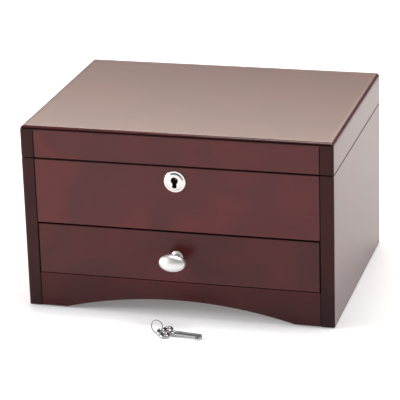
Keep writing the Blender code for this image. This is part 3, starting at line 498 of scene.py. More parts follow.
def silveredGlass(name):
    material, tree, shader = startMaterial(name, Metallic=1.0, Roughness=glassLook["roughness"])
    place = addNode(tree, "TexCoord").outputs["Object"]
    film = addNode(
        tree, "TexNoise", {"Vector": place, "Scale": 1 / (glassLook["filmSize"] * mm), "Detail": 1.0}
    )
    tint = addNode(tree, "ValToRGB", {"Fac": film}, stops=glassLook["stops"])
    feed(tree, shader, {"Base Color": tint})
    return material


# Needled felt pad: matted black fibres that catch a little light.
feltLook = {
    "stops": ((0.35, "#121213"), (0.7, "#2e2e30")),
    "rimStrength": 0.4,
    "rimRoughness": 0.5,
    "fibreSize": 0.6,  # mm; real fibres are 0.03 mm thick, drawn coarser so that the render shows them
    "fibreTwist": 1.5,
    "detail": 4.0,
    "matStrength": 0.6,
    "matDepth": 0.2,  # mm
}


def needledFelt(name):
    look = feltLook
    material, tree, shader = startMaterial(
        name, Metallic=0.0, Roughness=0.95, IOR=1.4, Sheen_Weight=look["rimStrength"],
        Sheen_Roughness=look["rimRoughness"],
    )
    place = addNode(tree, "TexCoord").outputs["Object"]
    fibres = addNode(
        tree, "TexNoise",
        {"Vector": place, "Scale": 1 / (look["fibreSize"] * mm), "Detail": look["detail"],
         "Distortion": look["fibreTwist"]},
    )
    shade = addNode(tree, "ValToRGB", {"Fac": fibres}, stops=look["stops"])
    mat = addNode(
        tree, "Bump", {"Height": fibres, "Strength": look["matStrength"], "Distance": look["matDepth"] * mm}
    )
    feed(tree, shader, {"Base Color": shade, "Normal": mat})
    return material


# axis of the grain, shift of the figure, brightness of the stain, gloss of the film
lacquerTop = lacqueredMahogany("satinLacquerTop", "x", (0.4, 0.1, 0), 0.78, 0.5)
lacquerFront = lacqueredMahogany("satinLacquerFront", "x", (0.06, 0, 0.01), 1.05, 0.34)
# the drawer's and the apron's stains are set darker than the panel's, and the apron's film less glossy:
# painted shade for the shadowed floor before them; the apron also gets the painted shade at the foot
lacquerDrawer = lacqueredMahogany("satinLacquerDrawer", "x", (0.9, 0, 0.3), 0.78, 0.3)
lacquerApron = lacqueredMahogany("satinLacquerApron", "x", (1.7, 0, 0.6), 0.84, 0.21, shadedAtFoot=True)
lacquerSide = lacqueredMahogany("satinLacquerSide", "y", (0.2, 0.7, 0), 1.0, 0.6)
lacquerBack = lacqueredMahogany("satinLacquerBack", "x", (2.3, 0, 0.1), 0.9, 0.34)
# stains from dark to light, roughness, gloss
postEndGrain = endGrainAndGapShade("stainedPostEndGrain", ("#331516", "#401c1b"), 0.45, 0.18)
# near-black arris colour: painted shade for the seams and the lid's shadow line
paintedGapShade = endGrainAndGapShade("stainedArris", ("#180808", "#220d0c"), 0.6, 0.2)
bareWoodX = sealedWood("sealedWoodAcross", "x")
bareWoodY = sealedWood("sealedWoodLengthwise", "y")
# colour, roughness and its spread, mm across a handling mark, strength of the marks
satinNickel = platedMetal("satinNickelPlate", "#eceae8", 0.46, 0.03, 1.4, 0.1)
polishedNickel = platedMetal("polishedNickelPlate", "#e4e2df", 0.22, 0.03, 3.0, 0.1)
handledNickel = platedMetal("handledNickelPlate", "#b2b3b4", 0.23, 0.04, 2.0, 0.08)
drawnWire = platedMetal("drawnSteelWire", "#77787b", 0.3, 0.04, 1.5, 0.08)
hingeBrass = platedMetal("platedBrass", "#d2b06a", 0.22, 0.06, 1.2, 0.2, brushedAlong="x")
zincSteel = platedMetal("zincSteel", "#b9bbbd", 0.32, 0.08, 1.6, 0.25, brushedAlong="x")
ivoryVelvet = pileVelvet("ivoryVelvet")
mirrorGlass = silveredGlass("silveredMirrorGlass")
blackFelt = needledFelt("blackNeedledFelt")
print("materials made")


# Lid top: a board with a lip over the rails, rounded all round, and a shadow line in its front edge
lidTop = {
    "cornerRadius": 2.35,
    "edgeRadius": 4.2,
    "lip": 4.6,
    "coreLap": 2,  # mm that the core between the rails reaches up into the lip
    "lineDrop": 1.6,
    "lineWidth": 1.3,
    "lineDepth": 1.6,
    "endGrainFrom": 0.8,  # share of its normal towards the front from which a face shows end grain
    "cornerSteps": 8,
    "edgeSteps": 14,
}


def makeLidTop():
    low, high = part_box("lid_top")
    centre, half = middleOf(low, high)
    corner, rounding = lidTop["cornerRadius"] * mm, lidTop["edgeRadius"] * mm
    lipZ = high.z - lidTop["lip"] * mm
    outlines = [(0, corner, lipZ)]  # how far inside the box, corner radius, height
    for a in evenSteps(0, quarterTurn, lidTop["edgeSteps"]):
        inset = rounding * (1 - math.cos(a))
        kept = max(corner - inset, corner * corner / (corner + rounding))
        outlines.append((inset, kept, high.z - rounding * (1 - math.sin(a))))
    bm = loft([
        roundedOutline(half.x - inset, half.y - inset, radius, z, lidTop["cornerSteps"])
        for inset, radius, z in outlines
    ])
    bmesh.ops.translate(bm, vec=(centre.x, centre.y, 0), verts=bm.verts)
    piece = newPiece("lidTop", bm, lacquerTop)
    railLow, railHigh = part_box("lid_front_rail")
    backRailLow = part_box("lid_back_rail")[0]
    coreLow = (railLow.x, railHigh.y + seamGap * mm, low.z)
    coreHigh = (railHigh.x, backRailLow.y - seamGap * mm, lipZ + lidTop["coreLap"] * mm)
    combineWith(piece, boxMesh(coreLow, coreHigh), "UNION")
    reach = half.x - corner
    lineTop = high.z - lidTop["lineDrop"] * mm
    lineBottom = lineTop - lidTop["lineWidth"] * mm
    lineBack = low.y + lidTop["lineDepth"] * mm
    lineLow = (centre.x - reach, low.y - mm, lineBottom)  # starts 1 mm before the edge, so the cut is open
    combineWith(piece, boxMesh(lineLow, (centre.x + reach, lineBack, lineTop)))
    for side in (-1, 1):  # split where the posts' seams meet it, so that the ends take the posts' stain
        bm = bmesh.new()
        bm.from_mesh(piece.data)
        place = (side * (railHigh.x + seamGap / 2 * mm), 0, 0)
        bmesh.ops.bisect_plane(
            bm, geom=bm.verts[:] + bm.edges[:] + bm.faces[:], plane_co=place, plane_no=(1, 0, 0), dist=1e-7
        )
        bm.to_mesh(piece.data)
        bm.free()
    smoothShading(piece.data)
    steadyFaces(piece)
    paintFaces(
        piece, postEndGrain,
        lambda normal, middle: normal.y < -lidTop["endGrainFrom"] and middle.z < lineBottom
        and abs(middle.x) > railHigh.x,
    )
    # the shadow line's faces are painted near black: painted shade in the groove
    paintFaces(
        piece, paintedGapShade,
        lambda normal, middle: middle.y < lineBack + hair * mm and middle.z > lipZ + hair * mm
        and (abs(normal.z) > squareOn or normal.y < -squareOn and middle.y > low.y + mm),
    )
    fitPiece(piece, "lid", "red_lacquer", "lid_top")


# Side boards of the case and the lid: round outer corners, a small round arris at the seam
sideBoard = {
    "cornerRadius": 2.35,
    "innerArris": 0.8,
    "seamArris": 0.7,
    "endGrainFrom": 0.4,  # as for the lid's top
    "cornerSteps": 8,
    "innerSteps": 2,
    "seamSteps": 3,
}


def makeSideBoard(node, name, outer, inner, seamSide, body):
    bm = boxMesh(*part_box(node))
    for end in ("front", "back"):
        corner = edgesBetween(bm, outer, end)
        easeEdges(bm, corner, sideBoard["cornerRadius"] * mm, sideBoard["cornerSteps"])
    easeEdges(bm, edgesBetween(bm, inner, "front"), sideBoard["innerArris"] * mm, sideBoard["innerSteps"])
    flat = max(bm.faces, key=lambda face: (looksTo(face, seamSide), face.calc_area()))
    rim = [edge for edge in flat.edges if not any(looksTo(face, inner) for face in edge.link_faces)]
    easeEdges(bm, rim, sideBoard["seamArris"] * mm, sideBoard["seamSteps"])
    piece = steadyFaces(newPiece(name, bm, lacquerSide))
    paintFaces(piece, postEndGrain, lambda normal, middle: normal.y < -sideBoard["endGrainFrom"])
    # the front arrises at the seams are painted near black: painted shade of the seams
    paintFaces(
        piece, paintedGapShade,
        lambda normal, middle: normal.y < -arrisLean
        and (abs(normal.z) > arrisLean or normal.dot(sideNormals[inner]) > arrisLean),
    )
    fitPiece(piece, body, "red_lacquer", node)


def makeFrontBoard(node, name, material, body):
    # the arrises around it are painted darker than the face: painted shade of the seams
    piece = cleanCopy(node, name, material)
    paintFaces(
        piece, paintedGapShade,
        lambda normal, middle: normal.y < -arrisLean and max(abs(normal.x), abs(normal.z)) > arrisLean,
    )
    fitPiece(piece, body, "red_lacquer", node)


makeLidTop()
makeSideBoard("left_side_panel", "caseSideLeft", "left", "right", "top", "case")
makeSideBoard("right_side_panel", "caseSideRight", "right", "left", "top", "case")
makeSideBoard("lid_left_rail", "lidRailLeft", "left", "right", "bottom", "lid")
makeSideBoard("lid_right_rail", "lidRailRight", "right", "left", "bottom", "lid")
makeFrontBoard("lid_front_rail", "lidRailFront", lacquerFront, "lid")
makeFrontBoard("front_panel", "frontPanel", lacquerFront, "case")
makeFrontBoard("drawer_front", "drawerFront", lacquerDrawer, "drawer")
for node, name, material, body in (
    ("lid_back_rail", "lidRailBack", lacquerBack, "lid"),
    ("back_panel", "caseBack", lacquerBack, "case"),
    ("apron", "archedApron", lacquerApron, "case"),
):
    fitPiece(cleanCopy(node, name, material), body, "red_lacquer", node)
for node in ("compartment_floor", "bottom_board", "drawer_back", "drawer_bottom"):
    dress(node, bareWoodX)
for node in ("drawer_left_side", "drawer_right_side"):
    dress(node, bareWoodY)
print("boards made")


# Drawer knob: an oval head on a waisted neck and a small round foot
knob = {
    "headWidth": 25,
    "headTall": 16.5,
    "headDepth": 13,
    "reach": 23.5,
    "foot": 5.5,
    "footThickness": 1.4,
    "neck": 3.3,
    "neckFillet": 1.2,
    "lastDegrees": 89,  # where the head's rings end, just short of its middle
    "steps": 72,
    "footSteps": 4,
    "filletSteps": 8,
    "headSteps": 36,
    "roundSteps": 6,  # rings over which the head goes from round at the neck to oval
}


def makeKnob():
    steps = knob["steps"]
    foot, thickness, neck, fillet = [knob[k] * mm for k in ("foot", "footThickness", "neck", "neckFillet")]
    halfWidth, halfTall, halfDepth = [knob[k] * mm / 2 for k in ("headWidth", "headTall", "headDepth")]
    edge = thickness / 2
    rings = [circlePoints(foot, 0, steps)]
    for a in evenSteps(0, quarterTurn, knob["footSteps"]):
        rings.append(circlePoints(foot - edge * (1 - math.cos(a)), edge * (1 + math.sin(a)), steps))
    for a in evenSteps(0, quarterTurn, knob["filletSteps"])[1:]:
        radius, height = neck + fillet * (1 - math.sin(a)), thickness + fillet * (1 - math.cos(a))
        rings.append(circlePoints(radius, height, steps))
    centre = (knob["reach"] - knob["headDepth"] / 2) * mm
    start = -math.acos(neck / halfTall)
    sweep = math.radians(knob["lastDegrees"]) - start
    for i, a in enumerate(evenSteps(start, sweep, knob["headSteps"])):
        wide, tall = halfWidth * math.cos(a), halfTall * math.cos(a)
        height = centre + halfDepth * math.sin(a)
        blend = max(0.0, 1 - i / knob["roundSteps"]) ** 2
        wide = wide * (1 - blend) + tall * blend
        rings.append([(wide * x, tall * y, height) for x, y, _ in circlePoints(1, 0, steps)])
    bm = loft(rings)
    place = Matrix.Translation(backOf(*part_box("drawer_knob")))
    bmesh.ops.transform(bm, matrix=place @ towardsFront, verts=bm.verts)
    fitPiece(newPiece("ovalKnob", bm, satinNickel), "drawer", "satin_nickel", "drawer_knob")


# Escutcheon: a round plate with a low flange and a raised field, pierced by the keyhole
escutcheon = {
    "radius": 10,
    "thickness": 1.6,
    "flange": 0.6,
    "edge": 0.3,
    "fieldRadius": 8.5,
    "step": 1.5,  # mm over which the flange rises to the field
    "innerRing": 0.5,  # share of the field's radius where its one flat face starts
    "holeRadius": 3.4,
    "holeRise": 1.2,
    "slotWidth": 4.1,
    "slotDrop": 7,
    "steps": 96,
    "edgeSteps": 8,
    "stepSteps": 12,
    "holeSteps": 28,
}


def keyholeOutline():
    radius, width, drop = [escutcheon[k] * mm for k in ("holeRadius", "slotWidth", "slotDrop")]
    start = -math.acos(width / 2 / radius)
    angles = evenSteps(start, math.pi - 2 * start, escutcheon["holeSteps"])
    circle = [(radius * math.cos(a), radius * math.sin(a)) for a in angles]
    return [(width / 2, -drop), *circle, (-width / 2, -drop)]


def makeEscutcheon():
    low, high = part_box("escutcheon")
    radius, thickness, flange, edge, field, step = [
        escutcheon[k] * mm for k in ("radius", "thickness", "flange", "edge", "fieldRadius", "step")
    ]
    profile = [(radius, 0)]
    for a in evenSteps(0, quarterTurn, escutcheon["edgeSteps"]):
        profile.append((radius - edge * (1 - math.cos(a)), flange - edge * (1 - math.sin(a))))
    for share in evenSteps(0, 1, escutcheon["stepSteps"]):  # an even S from the flange up to the field
        rise = (1 - math.cos(math.pi * share)) / 2
        profile.append((field - step * share, flange + (thickness - flange) * rise))
    profile.append((escutcheon["innerRing"] * field, thickness))
    bm = lathe(profile, escutcheon["steps"], towardsFront)
    place = backOf(low, high)
    bmesh.ops.translate(bm, vec=place, verts=bm.verts)
    piece = newPiece("roundEscutcheon", bm, polishedNickel)
    rise = place.z + escutcheon["holeRise"] * mm
    outline = keyholeOutline()
    combineWith(piece, loft([[(x, y, rise + z) for x, z in outline] for y in (low.y - mm, high.y + mm)]))
    smoothShading(piece.data)
    fitPiece(piece, "case", "polished_nickel", "escutcheon")


makeKnob()
makeEscutcheon()


# Key: a cast barrel key with a bow of three loops, a bead and a short bit; it lies on its side
key = {
    "place": (7.7, 43.6),  # mm to the right of the middle, and in front of the drawer's face
    "yaw": -4.2,  # degrees
    "sizes": {  # mm
        "shaftRadius": 2.35,
        "shaftLength": 25.5,
        "endChamfer": 0.3,
        "boreRadius": 1.45,
        "boreDepth": 12,
        "beadStep": 0.35,
        "beadHalf": 0.9,
        "bowDistance": 7.6,
        "lobeSpread": 4.6,
        "lobeRadius": 3.2,
        "wire": 1.5,
        "hub": 1.7,
        "bitLength": 3.6,
        "bitReach": 4.6,
        "bitThickness": 1.4,
        "bitSetback": 1.2,
        "grit": 0.2,  # how fine the cast skin is
    },
    "steps": 48,
    "wireSides": 20,
    "beadSteps": 12,
    "softenings": 4,
    "softness": 0.5,
}


def wireRing(radius, wire, steps, sides):
    return lathe([(radius + x, y) for x, y, _ in circlePoints(wire, 0, sides)], steps, closed=True)


def addMesh(bm, other, place=Matrix.Identity(4)):
    mesh = bpy.data.meshes.new("part")
    bmesh.ops.transform(other, matrix=place, verts=other.verts)
    bmesh.ops.recalc_face_normals(other, faces=other.faces)
    other.to_mesh(mesh)
    other.free()
    bm.from_mesh(mesh)
    bpy.data.meshes.remove(mesh)


def makeKey():
    k = {name: value * mm for name, value in key["sizes"].items()}
    bead = k["shaftRadius"] + k["beadStep"]
    pitch = math.asin(k["beadStep"] / k["shaftLength"])
    bowZ = bead + k["bowDistance"] * math.sin(pitch)
    bowHalf = k["lobeSpread"] + k["lobeRadius"] + k["wire"]
    tilt = math.asin((bowZ - k["wire"]) / (bowHalf - k["wire"]))
    profile = [(k["hub"], -k["bowDistance"] - k["hub"]), (k["hub"], -k["beadHalf"] * 2)]
    for a in evenSteps(0, math.pi, key["beadSteps"]):
        profile.append((k["shaftRadius"] + k["beadStep"] * math.sin(a), -k["beadHalf"] * math.cos(a)))
    profile += [
        (k["shaftRadius"], k["shaftLength"] - k["endChamfer"]),
        (k["shaftRadius"] - k["endChamfer"], k["shaftLength"]),
        (k["boreRadius"], k["shaftLength"]),
        (k["boreRadius"], k["shaftLength"] - k["boreDepth"]),
    ]
    bm = bmesh.new()
    addMesh(bm, lathe(profile, key["steps"], alongX))
    for outwards, across in ((0, k["lobeSpread"]), (0, -k["lobeSpread"]), (k["lobeSpread"], 0)):
        loop = wireRing(k["lobeRadius"], k["wire"], key["steps"], key["wireSides"])
        addMesh(bm, loop, Matrix.Translation((-k["bowDistance"] - outwards, across, 0)))
    bitEnd = k["shaftLength"] - k["bitSetback"]
    bitTop = -(k["boreRadius"] + k["shaftRadius"]) / 2
    bitLow = (bitEnd - k["bitLength"], -k["bitReach"], -k["bitThickness"] / 2)
    addMesh(bm, boxMesh(bitLow, (bitEnd, bitTop, k["bitThickness"] / 2)))
    piece = newPiece("barrelKey", bm, handledNickel)
    addRemesh(piece, k["grit"])
    soften = piece.modifiers.new("soften", "SMOOTH")
    soften.factor, soften.iterations = key["softness"], key["softenings"]
    applied(piece)
    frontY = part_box("drawer_front")[0].y
    place = Matrix.Translation((key["place"][0] * mm, frontY - key["place"][1] * mm, bead))
    yaw = Matrix.Rotation(math.radians(key["yaw"]), 4, "Z")
    piece.data.transform(place @ (yaw @ Matrix.Rotation(pitch, 4, "Y") @ Matrix.Rotation(tilt, 4, "X")))
    piece.data.shade_smooth()
    fitPiece(piece, "key", "polished_nickel", "key")


# Key ring: one thin wire ring through the bow, leaning back on the surface
keyRing = {
    "radius": 6.1,
    "wire": 0.4,
    "heading": -18,  # degrees
    "lean": 6,  # degrees back from upright
    "steps": 120,
    "sides": 16,
}


def makeKeyRing():
    centre = middleOf(*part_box("key_ring"))[0]
    bm = wireRing(keyRing["radius"] * mm, keyRing["wire"] * mm, keyRing["steps"], keyRing["sides"])
    heading = Matrix.Rotation(math.radians(keyRing["heading"]), 4, "Z")
    upright = Matrix.Rotation(math.radians(90 - keyRing["lean"]), 4, "X")
    bmesh.ops.transform(bm, matrix=Matrix.Translation(centre) @ (heading @ upright), verts=bm.verts)
    fitPiece(newPiece("wireKeyRing", bm, drawnWire), "key_ring", "polished_nickel", "key_ring")


makeKey()
makeKeyRing()
print("knob, escutcheon, key and ring made")


# Hardware that keeps its CAD shape, cleaned so that barrels and heads shade as round
def makeHardware():
    for node in frame["nodes"]:
        parts = node.split("_")
        name = parts[0] + "".join(p.capitalize() for p in parts[1:])
        body = next(b for b, names in record["behaviour"]["bodies"].items() if node in names)
        if (node.startswith("hinge_") and "pin" not in parts) or "_screw_" in node:
            fitPiece(cleanCopy(node, name, hingeBrass), body, "brass", node)
        elif node.startswith(("hinge_", "lock_", "strike_", "knob_screw")):
            fitPiece(cleanCopy(node, name, zincSteel), body, "steel", node)


makeHardware()


# Linings: velvet over thin card and wadding, soft along their edges and a little uneven
lining = {
    "edge": 1.0,
    "edgeRows": (0, 0.12, 0.45, 1),  # where the rows of the soft edge stand, as shares of it
    "grid": 5.0,
    "wave": 0.22,
    "waveLength": 34,
    "waveStart": 8,  # mm in from the rim where the waves reach their full height
    "waveTop": 0.8,  # noise value of the flat face, so every wave stays below it
    "crispDegrees": 60,
}


def makeLining(node, name, body, lookDown=False):
    low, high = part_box(node)
    edge, grid, wave = [lining[k] * mm for k in ("edge", "grid", "wave")]

    def lines(start, end):
        reach = end - start - 4 * edge
        middle = evenSteps(start + 2 * edge, reach, int(reach / grid))
        rim = [share * edge for share in lining["edgeRows"]]
        return [start + e for e in rim] + middle + [end - e for e in reversed(rim)]

    def drop(distance):
        share = max(0.0, 1 - distance / edge)
        return edge * (1 - math.sqrt(1 - share * share))

    xs, ys = lines(low.x, high.x), lines(low.y, high.y)
    bm = bmesh.new()
    rows = []
    for y in ys:
        row = []
        for x in xs:
            toRim = min(x - low.x, high.x - x, y - low.y, high.y - y)
            swell = noise.noise(Vector((x, y, low.z)) / (lining["waveLength"] * mm)) - lining["waveTop"]
            depth = drop(toRim) - min(toRim / (lining["waveStart"] * mm), 1.0) * wave * swell
            row.append(bm.verts.new((x, y, low.z + depth if lookDown else high.z - depth)))
        rows.append(row)
    for lower, upper in zip(rows, rows[1:]):
        for corners in zip(lower, lower[1:], upper[1:], upper):
            bm.faces.new(corners)
    border = rows[0] + [row[-1] for row in rows[1:]] + rows[-1][-2::-1] + [row[0] for row in rows[-2:0:-1]]
    card = [bm.verts.new((vert.co.x, vert.co.y, high.z if lookDown else low.z)) for vert in border]
    addBand(bm, border, card)
    bm.faces.new(card)
    piece = newPiece(name, bm, ivoryVelvet, lining["crispDegrees"])
    fitPiece(piece, body, "ivory_velvet", node)


# Dividers: card wrapped in velvet, so their top edge is fully round
divider = {"topRadius": 2.2, "topSteps": 6, "crispDegrees": 50}


def makeDivider(node, name):
    low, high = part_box(node)
    pair = ("front", "back") if high.x - low.x > high.y - low.y else ("left", "right")
    bm = boxMesh(low, high)
    for side in pair:
        easeEdges(bm, edgesBetween(bm, "top", side), divider["topRadius"] * mm, divider["topSteps"])
    fitPiece(newPiece(name, bm, ivoryVelvet, divider["crispDegrees"]), "case", "ivory_velvet", node)


# Ring rolls: wadding rolled in velvet, gathered at the ends, pressed flat against each other and the board
ringRoll = {
    "slack": 0.7,  # mm that the roll starts inside its room, so that it can swell
    "drawIn": 6,
    "endShare": 0.62,
    "roundTop": 0.85,  # powers of the section: 1 is an ellipse, lower is squarer
    "squareFoot": 0.4,
    "sections": 48,
    "endSections": 8,
    "sides": 40,
    "voxel": 2.0,
    "glueHeight": 0.3,  # mm of the foot that stays glued down
    "pressure": 4,
    "spareCloth": 0.06,
    "clothQuality": 6,
    "clothMass": 0.2,
    "stretchStiffness": 12,
    "bendStiffness": 0.4,
    "travel": 2.5,  # mm that a point may move at most
    "frames": 20,
    "pleats": 13,
    "pleatDepth": 0.45,
    "pleatReach": 8,
    "pleatFade": 1.5,  # power by which the pleats die out away from the end
    "pleatLow": 0.35,  # how far the pleats go down the sides
    "crispDegrees": 70,
}


def stuffPad(piece, low):
    # cloth simulation: the cover is cut a little large, stuffing fills it, its foot stays glued down
    addRemesh(piece, ringRoll["voxel"] * mm)
    applied(piece)
    mesh = piece.data
    start = [vert.co.copy() for vert in mesh.vertices]
    foot = low.z + (ringRoll["slack"] + ringRoll["glueHeight"]) * mm
    glued = piece.vertex_groups.new(name="glued")
    glued.add([i for i, point in enumerate(start) if point.z < foot], 1.0, "REPLACE")
    cloth = piece.modifiers.new("stuffing", "CLOTH")
    settings = cloth.settings
    settings.quality = ringRoll["clothQuality"]
    settings.mass = ringRoll["clothMass"]
    settings.tension_stiffness = settings.compression_stiffness = ringRoll["stretchStiffness"]
    settings.bending_stiffness = ringRoll["bendStiffness"]
    settings.use_pressure = True
    settings.uniform_pressure_force = ringRoll["pressure"]
    settings.effector_weights.gravity = 0
    settings.shrink_min = -ringRoll["spareCloth"]
    settings.vertex_group_mass = "glued"
    cloth.collision_settings.use_collision = False
    cloth.point_cache.frame_start, cloth.point_cache.frame_end = 1, ringRoll["frames"]
    for frameNumber in range(1, ringRoll["frames"] + 1):
        scene.frame_set(frameNumber)
    graph = bpy.context.evaluated_depsgraph_get()
    stuffed = [vert.co.copy() for vert in piece.evaluated_get(graph).data.vertices]
    piece.modifiers.clear()
    piece.vertex_groups.clear()
    scene.frame_set(1)
    travel = ringRoll["travel"] * mm
    for vert, before, after in zip(mesh.vertices, start, stuffed):
        move = after - before
        if move.length > travel:
            move *= travel / move.length
        vert.co = before + move
    smoother = piece.modifiers.new("finer", "SUBSURF")
    smoother.levels = smoother.render_levels = 1
    applied(piece)


def rollStations(reach):
    # places along a roll that ends at reach to both sides, each with its share of the full section
    ends = ringRoll["endSections"]
    stations = []
    for a in evenSteps(0, quarterTurn, ends):
        share = ringRoll["endShare"] + (1 - ringRoll["endShare"]) * math.sin(a)
        stations.append((-reach + ringRoll["drawIn"] * mm * (1 - math.cos(a)), share))
    start = stations[-1][0]
    middle = evenSteps(start, -2 * start, ringRoll["sections"] - 2 * ends)[1:-1]
    return stations + [(x, 1.0) for x in middle] + [(-x, share) for x, share in reversed(stations)]


def makeRingRoll(node, name):
    low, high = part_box(node)
    centre, half = middleOf(low, high)
    slack = ringRoll["slack"] * mm
    halfY, halfZ = half.y - slack, half.z - slack
    rings = []
    for x, share in rollStations(half.x - slack):
        ring = []
        for c, s, _ in circlePoints(1, 0, ringRoll["sides"]):
            power = ringRoll["roundTop"] if s > 0 else ringRoll["squareFoot"]
            across = math.copysign(abs(c) ** power, c) * halfY * share
            rise = math.copysign(abs(s) ** power, s) * halfZ * (share if s > 0 else 1.0)
            ring.append((centre.x + x, centre.y + across, centre.z + rise))
        rings.append(ring)
    piece = newPiece(name, loft(rings), ivoryVelvet)
    stuffPad(piece, low)
    for vert in piece.data.vertices:  # pleats where the cover is gathered, then the neighbours' push
        point = vert.co
        toEnd = half.x - abs(point.x - centre.x)
        around = math.atan2(point.z - centre.z, point.y - centre.y)
        gather = max(0.0, 1 - toEnd / (ringRoll["pleatReach"] * mm)) ** ringRoll["pleatFade"]
        gather *= max(0.0, math.sin(around) + ringRoll["pleatLow"])
        fold = ringRoll["pleatDepth"] * mm * gather * (0.5 + 0.5 * math.sin(ringRoll["pleats"] * around))
        point.y -= fold * math.cos(around)
        point.z -= fold * math.sin(around)
        for axis in range(3):
            point[axis] = min(max(point[axis], low[axis]), high[axis])
    smoothShading(piece.data, ringRoll["crispDegrees"])
    fitPiece(piece, "case", "ivory_velvet", node)


# Mirror: silvered glass with a wide shallow bevel, glued to the lid's lining
mirror = {
    "bevelWidth": 11,
    "bevelDrop": 1.1,
    "crispDegrees": 2,  # the bevel's edges stay crisp although it is shallow
}


def makeMirror():
    low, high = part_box("lid_mirror")
    centre, half = middleOf(low, high)
    width, drop = mirror["bevelWidth"] * mm, mirror["bevelDrop"] * mm
    rings = []
    for inset, z in ((0, high.z), (0, low.z + drop), (width, low.z)):
        ring = [(centre.x + sx * (half.x - inset), centre.y + sy * (half.y - inset), z)
                for sx, sy in ((1, 1), (-1, 1), (-1, -1), (1, -1))]
        rings.append(ring)
    piece = newPiece("bevelledMirror", loft(rings), mirrorGlass, mirror["crispDegrees"])
    fitPiece(piece, "lid", "mirror", "lid_mirror")


# Foot pads: felt discs, slightly crushed at the rim
footPad = {
    "radius": 5,
    "crush": 0.25,
    "lowShoulder": 0.3,  # shares of the crush that are left just above the ground and at the board
    "topShoulder": 0.2,
    "steps": 40,
    "crispDegrees": 60,
}


def makeFootPads():
    radius, crush = footPad["radius"] * mm, footPad["crush"] * mm
    lowShoulder, topShoulder = footPad["lowShoulder"] * crush, footPad["topShoulder"] * crush
    for node in [n for n in frame["nodes"] if n.startswith("foot_pad_")]:
        low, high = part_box(node)
        centre = middleOf(low, high)[0]
        height = high.z - low.z
        profile = [(radius - crush, 0), (radius - lowShoulder, lowShoulder), (radius, height / 2),
                   (radius - topShoulder, height)]
        bm = lathe(profile, footPad["steps"])
        bmesh.ops.translate(bm, vec=(centre.x, centre.y, low.z), verts=bm.verts)
        _, _, end, hand = node.split("_")
        name = "feltPad" + end.capitalize() + hand.capitalize()
        fitPiece(newPiece(name, bm, blackFelt, footPad["crispDegrees"]), "case", "black_felt", node)


makeLining("compartment_lining", "compartmentLining", "case")
makeLining("drawer_lining", "drawerLining", "drawer")
makeLining("lid_lining", "lidLining", "lid", True)
makeDivider("long_divider", "longDivider")
makeDivider("front_divider", "frontDivider")
makeDivider("back_divider", "backDivider")
for number in range(1, 5):
    makeRingRoll(f"ring_roll_{number}", f"ringRoll{number}")
makeMirror()
makeFootPads()
print("linings, dividers, ring rolls, mirror and pads made")


# Studio: a lit white acrylic table, a wall of light behind that veils the lid, a long panel overhead whose
# soft shadow lies along the foot, a low panel at the left for the front and the knob, and a dim room
studio = {
    "table": "#f4f4f5",
    "tableReach": 6,  # m
    "tableGlow": 0.19,
    "fill": 0.3,
    "backFill": 0.25,
    "ceiling": 0.1,
    "ceilingFade": (0.42, 0.75),  # sine of the elevation where the fill starts to fade and is gone
    "backFade": (-0.1, 0.5),  # how far back a direction points where the back's fill starts and is whole
    "lamps": {
        # name: (place, target, width, height, radiance, colour)
        "wallOfLight": ((-0.4, 1.94, 1.44), (-0.4, 0, 0.1), 2.0, 0.9, 6.5, "#fff0e2"),
        "ceilingPanel": ((0.6, 0.1, 2.6), (0.6, 0.1, 0), 2.4, 0.5, 14.5, "#ffffff"),
        "leftPanel": ((-1.9, -0.75, 0.72), (0, 0, 0.1), 1.2, 0.8, 12.8, "#ffffff"),
    },
}
white = (1, 1, 1, 1)


def makeTable():
    bm = bmesh.new()
    bmesh.ops.create_grid(bm, x_segments=1, y_segments=1, size=studio["tableReach"])
    material = startMaterial(
        "litAcrylicSheet", Roughness=0.9, IOR=1.4, Specular_IOR_Level=0.1,
        Base_Color=linear(studio["table"]), Emission_Color=white, Emission_Strength=studio["tableGlow"],
    )[0]
    floor = newPiece("acrylicTable", bm, material)


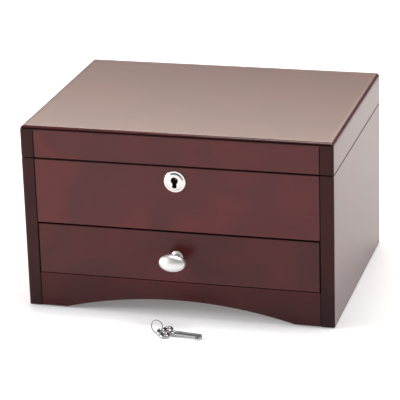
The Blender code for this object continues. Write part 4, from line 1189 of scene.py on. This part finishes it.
def makeRoomLight():
    world = bpy.data.worlds.new("studioAir")
    world.use_nodes = True
    scene.world = world
    tree = world.node_tree
    background = tree.nodes["Background"]
    direction = addNode(tree, "TexCoord").outputs["Generated"]
    parts = addNode(tree, "SeparateXYZ", {"Vector": direction})
    fades = (
        ("Z", studio["ceilingFade"], studio["fill"], studio["ceiling"]),
        ("Y", studio["backFade"], 1.0, studio["backFill"] / studio["fill"]),
    )
    upwards, backwards = [
        addNode(
            tree, "MapRange",
            {"Value": parts.outputs[axis], "From Min": start, "From Max": end, "To Min": low, "To Max": high},
            interpolation_type="SMOOTHSTEP",
        )
        for axis, (start, end), low, high in fades
    ]
    both = addNode(tree, "Math", {0: upwards, 1: backwards}, operation="MULTIPLY")
    feed(tree, background, {"Color": white, "Strength": both})


def makeLamps():
    for name, (place, target, width, height, radiance, colour) in studio["lamps"].items():
        lamp = bpy.data.lights.new(name, "AREA")
        lamp.shape = "RECTANGLE"
        lamp.size, lamp.size_y = width, height
        lamp.energy = radiance * math.pi * width * height
        lamp.color = linear(colour)[:3]
        holder = addObject(name, lamp)
        holder.location = place
        holder.rotation_euler = (Vector(target) - Vector(place)).to_track_quat("-Z", "Y").to_euler()


# Camera: long lens, from the front right and above, a little off level as in the picture
camera = {
    "lens": 191.6,
    "sensor": 36,
    "place": (0.5061, -1.8084, 0.7670),
    "azimuth": 15.669,
    "elevation": 20.020,
    "roll": -1.726,
    "clip": (0.1, 50),
}


def makeCamera():
    az, el, roll = [math.radians(camera[k]) for k in ("azimuth", "elevation", "roll")]
    back = Vector((math.sin(az) * math.cos(el), -math.cos(az) * math.cos(el), math.sin(el)))
    right = Vector((math.cos(az), math.sin(az), 0))
    up = back.cross(right)
    tiltedRight = math.cos(roll) * right + math.sin(roll) * up
    tiltedUp = -math.sin(roll) * right + math.cos(roll) * up
    data = bpy.data.cameras.new("studioCamera")
    data.lens, data.sensor_width = camera["lens"], camera["sensor"]
    data.clip_start, data.clip_end = camera["clip"]
    holder = addObject("studioCamera", data)
    turn = Matrix((tiltedRight, tiltedUp, back)).transposed().to_4x4()
    holder.matrix_world = Matrix.Translation(camera["place"]) @ turn
    scene.camera = holder


makeTable()
makeRoomLight()
makeLamps()
makeCamera()
print("studio and camera made")
scene.view_settings.view_transform = "Standard"
bpy.context.view_layer.update()
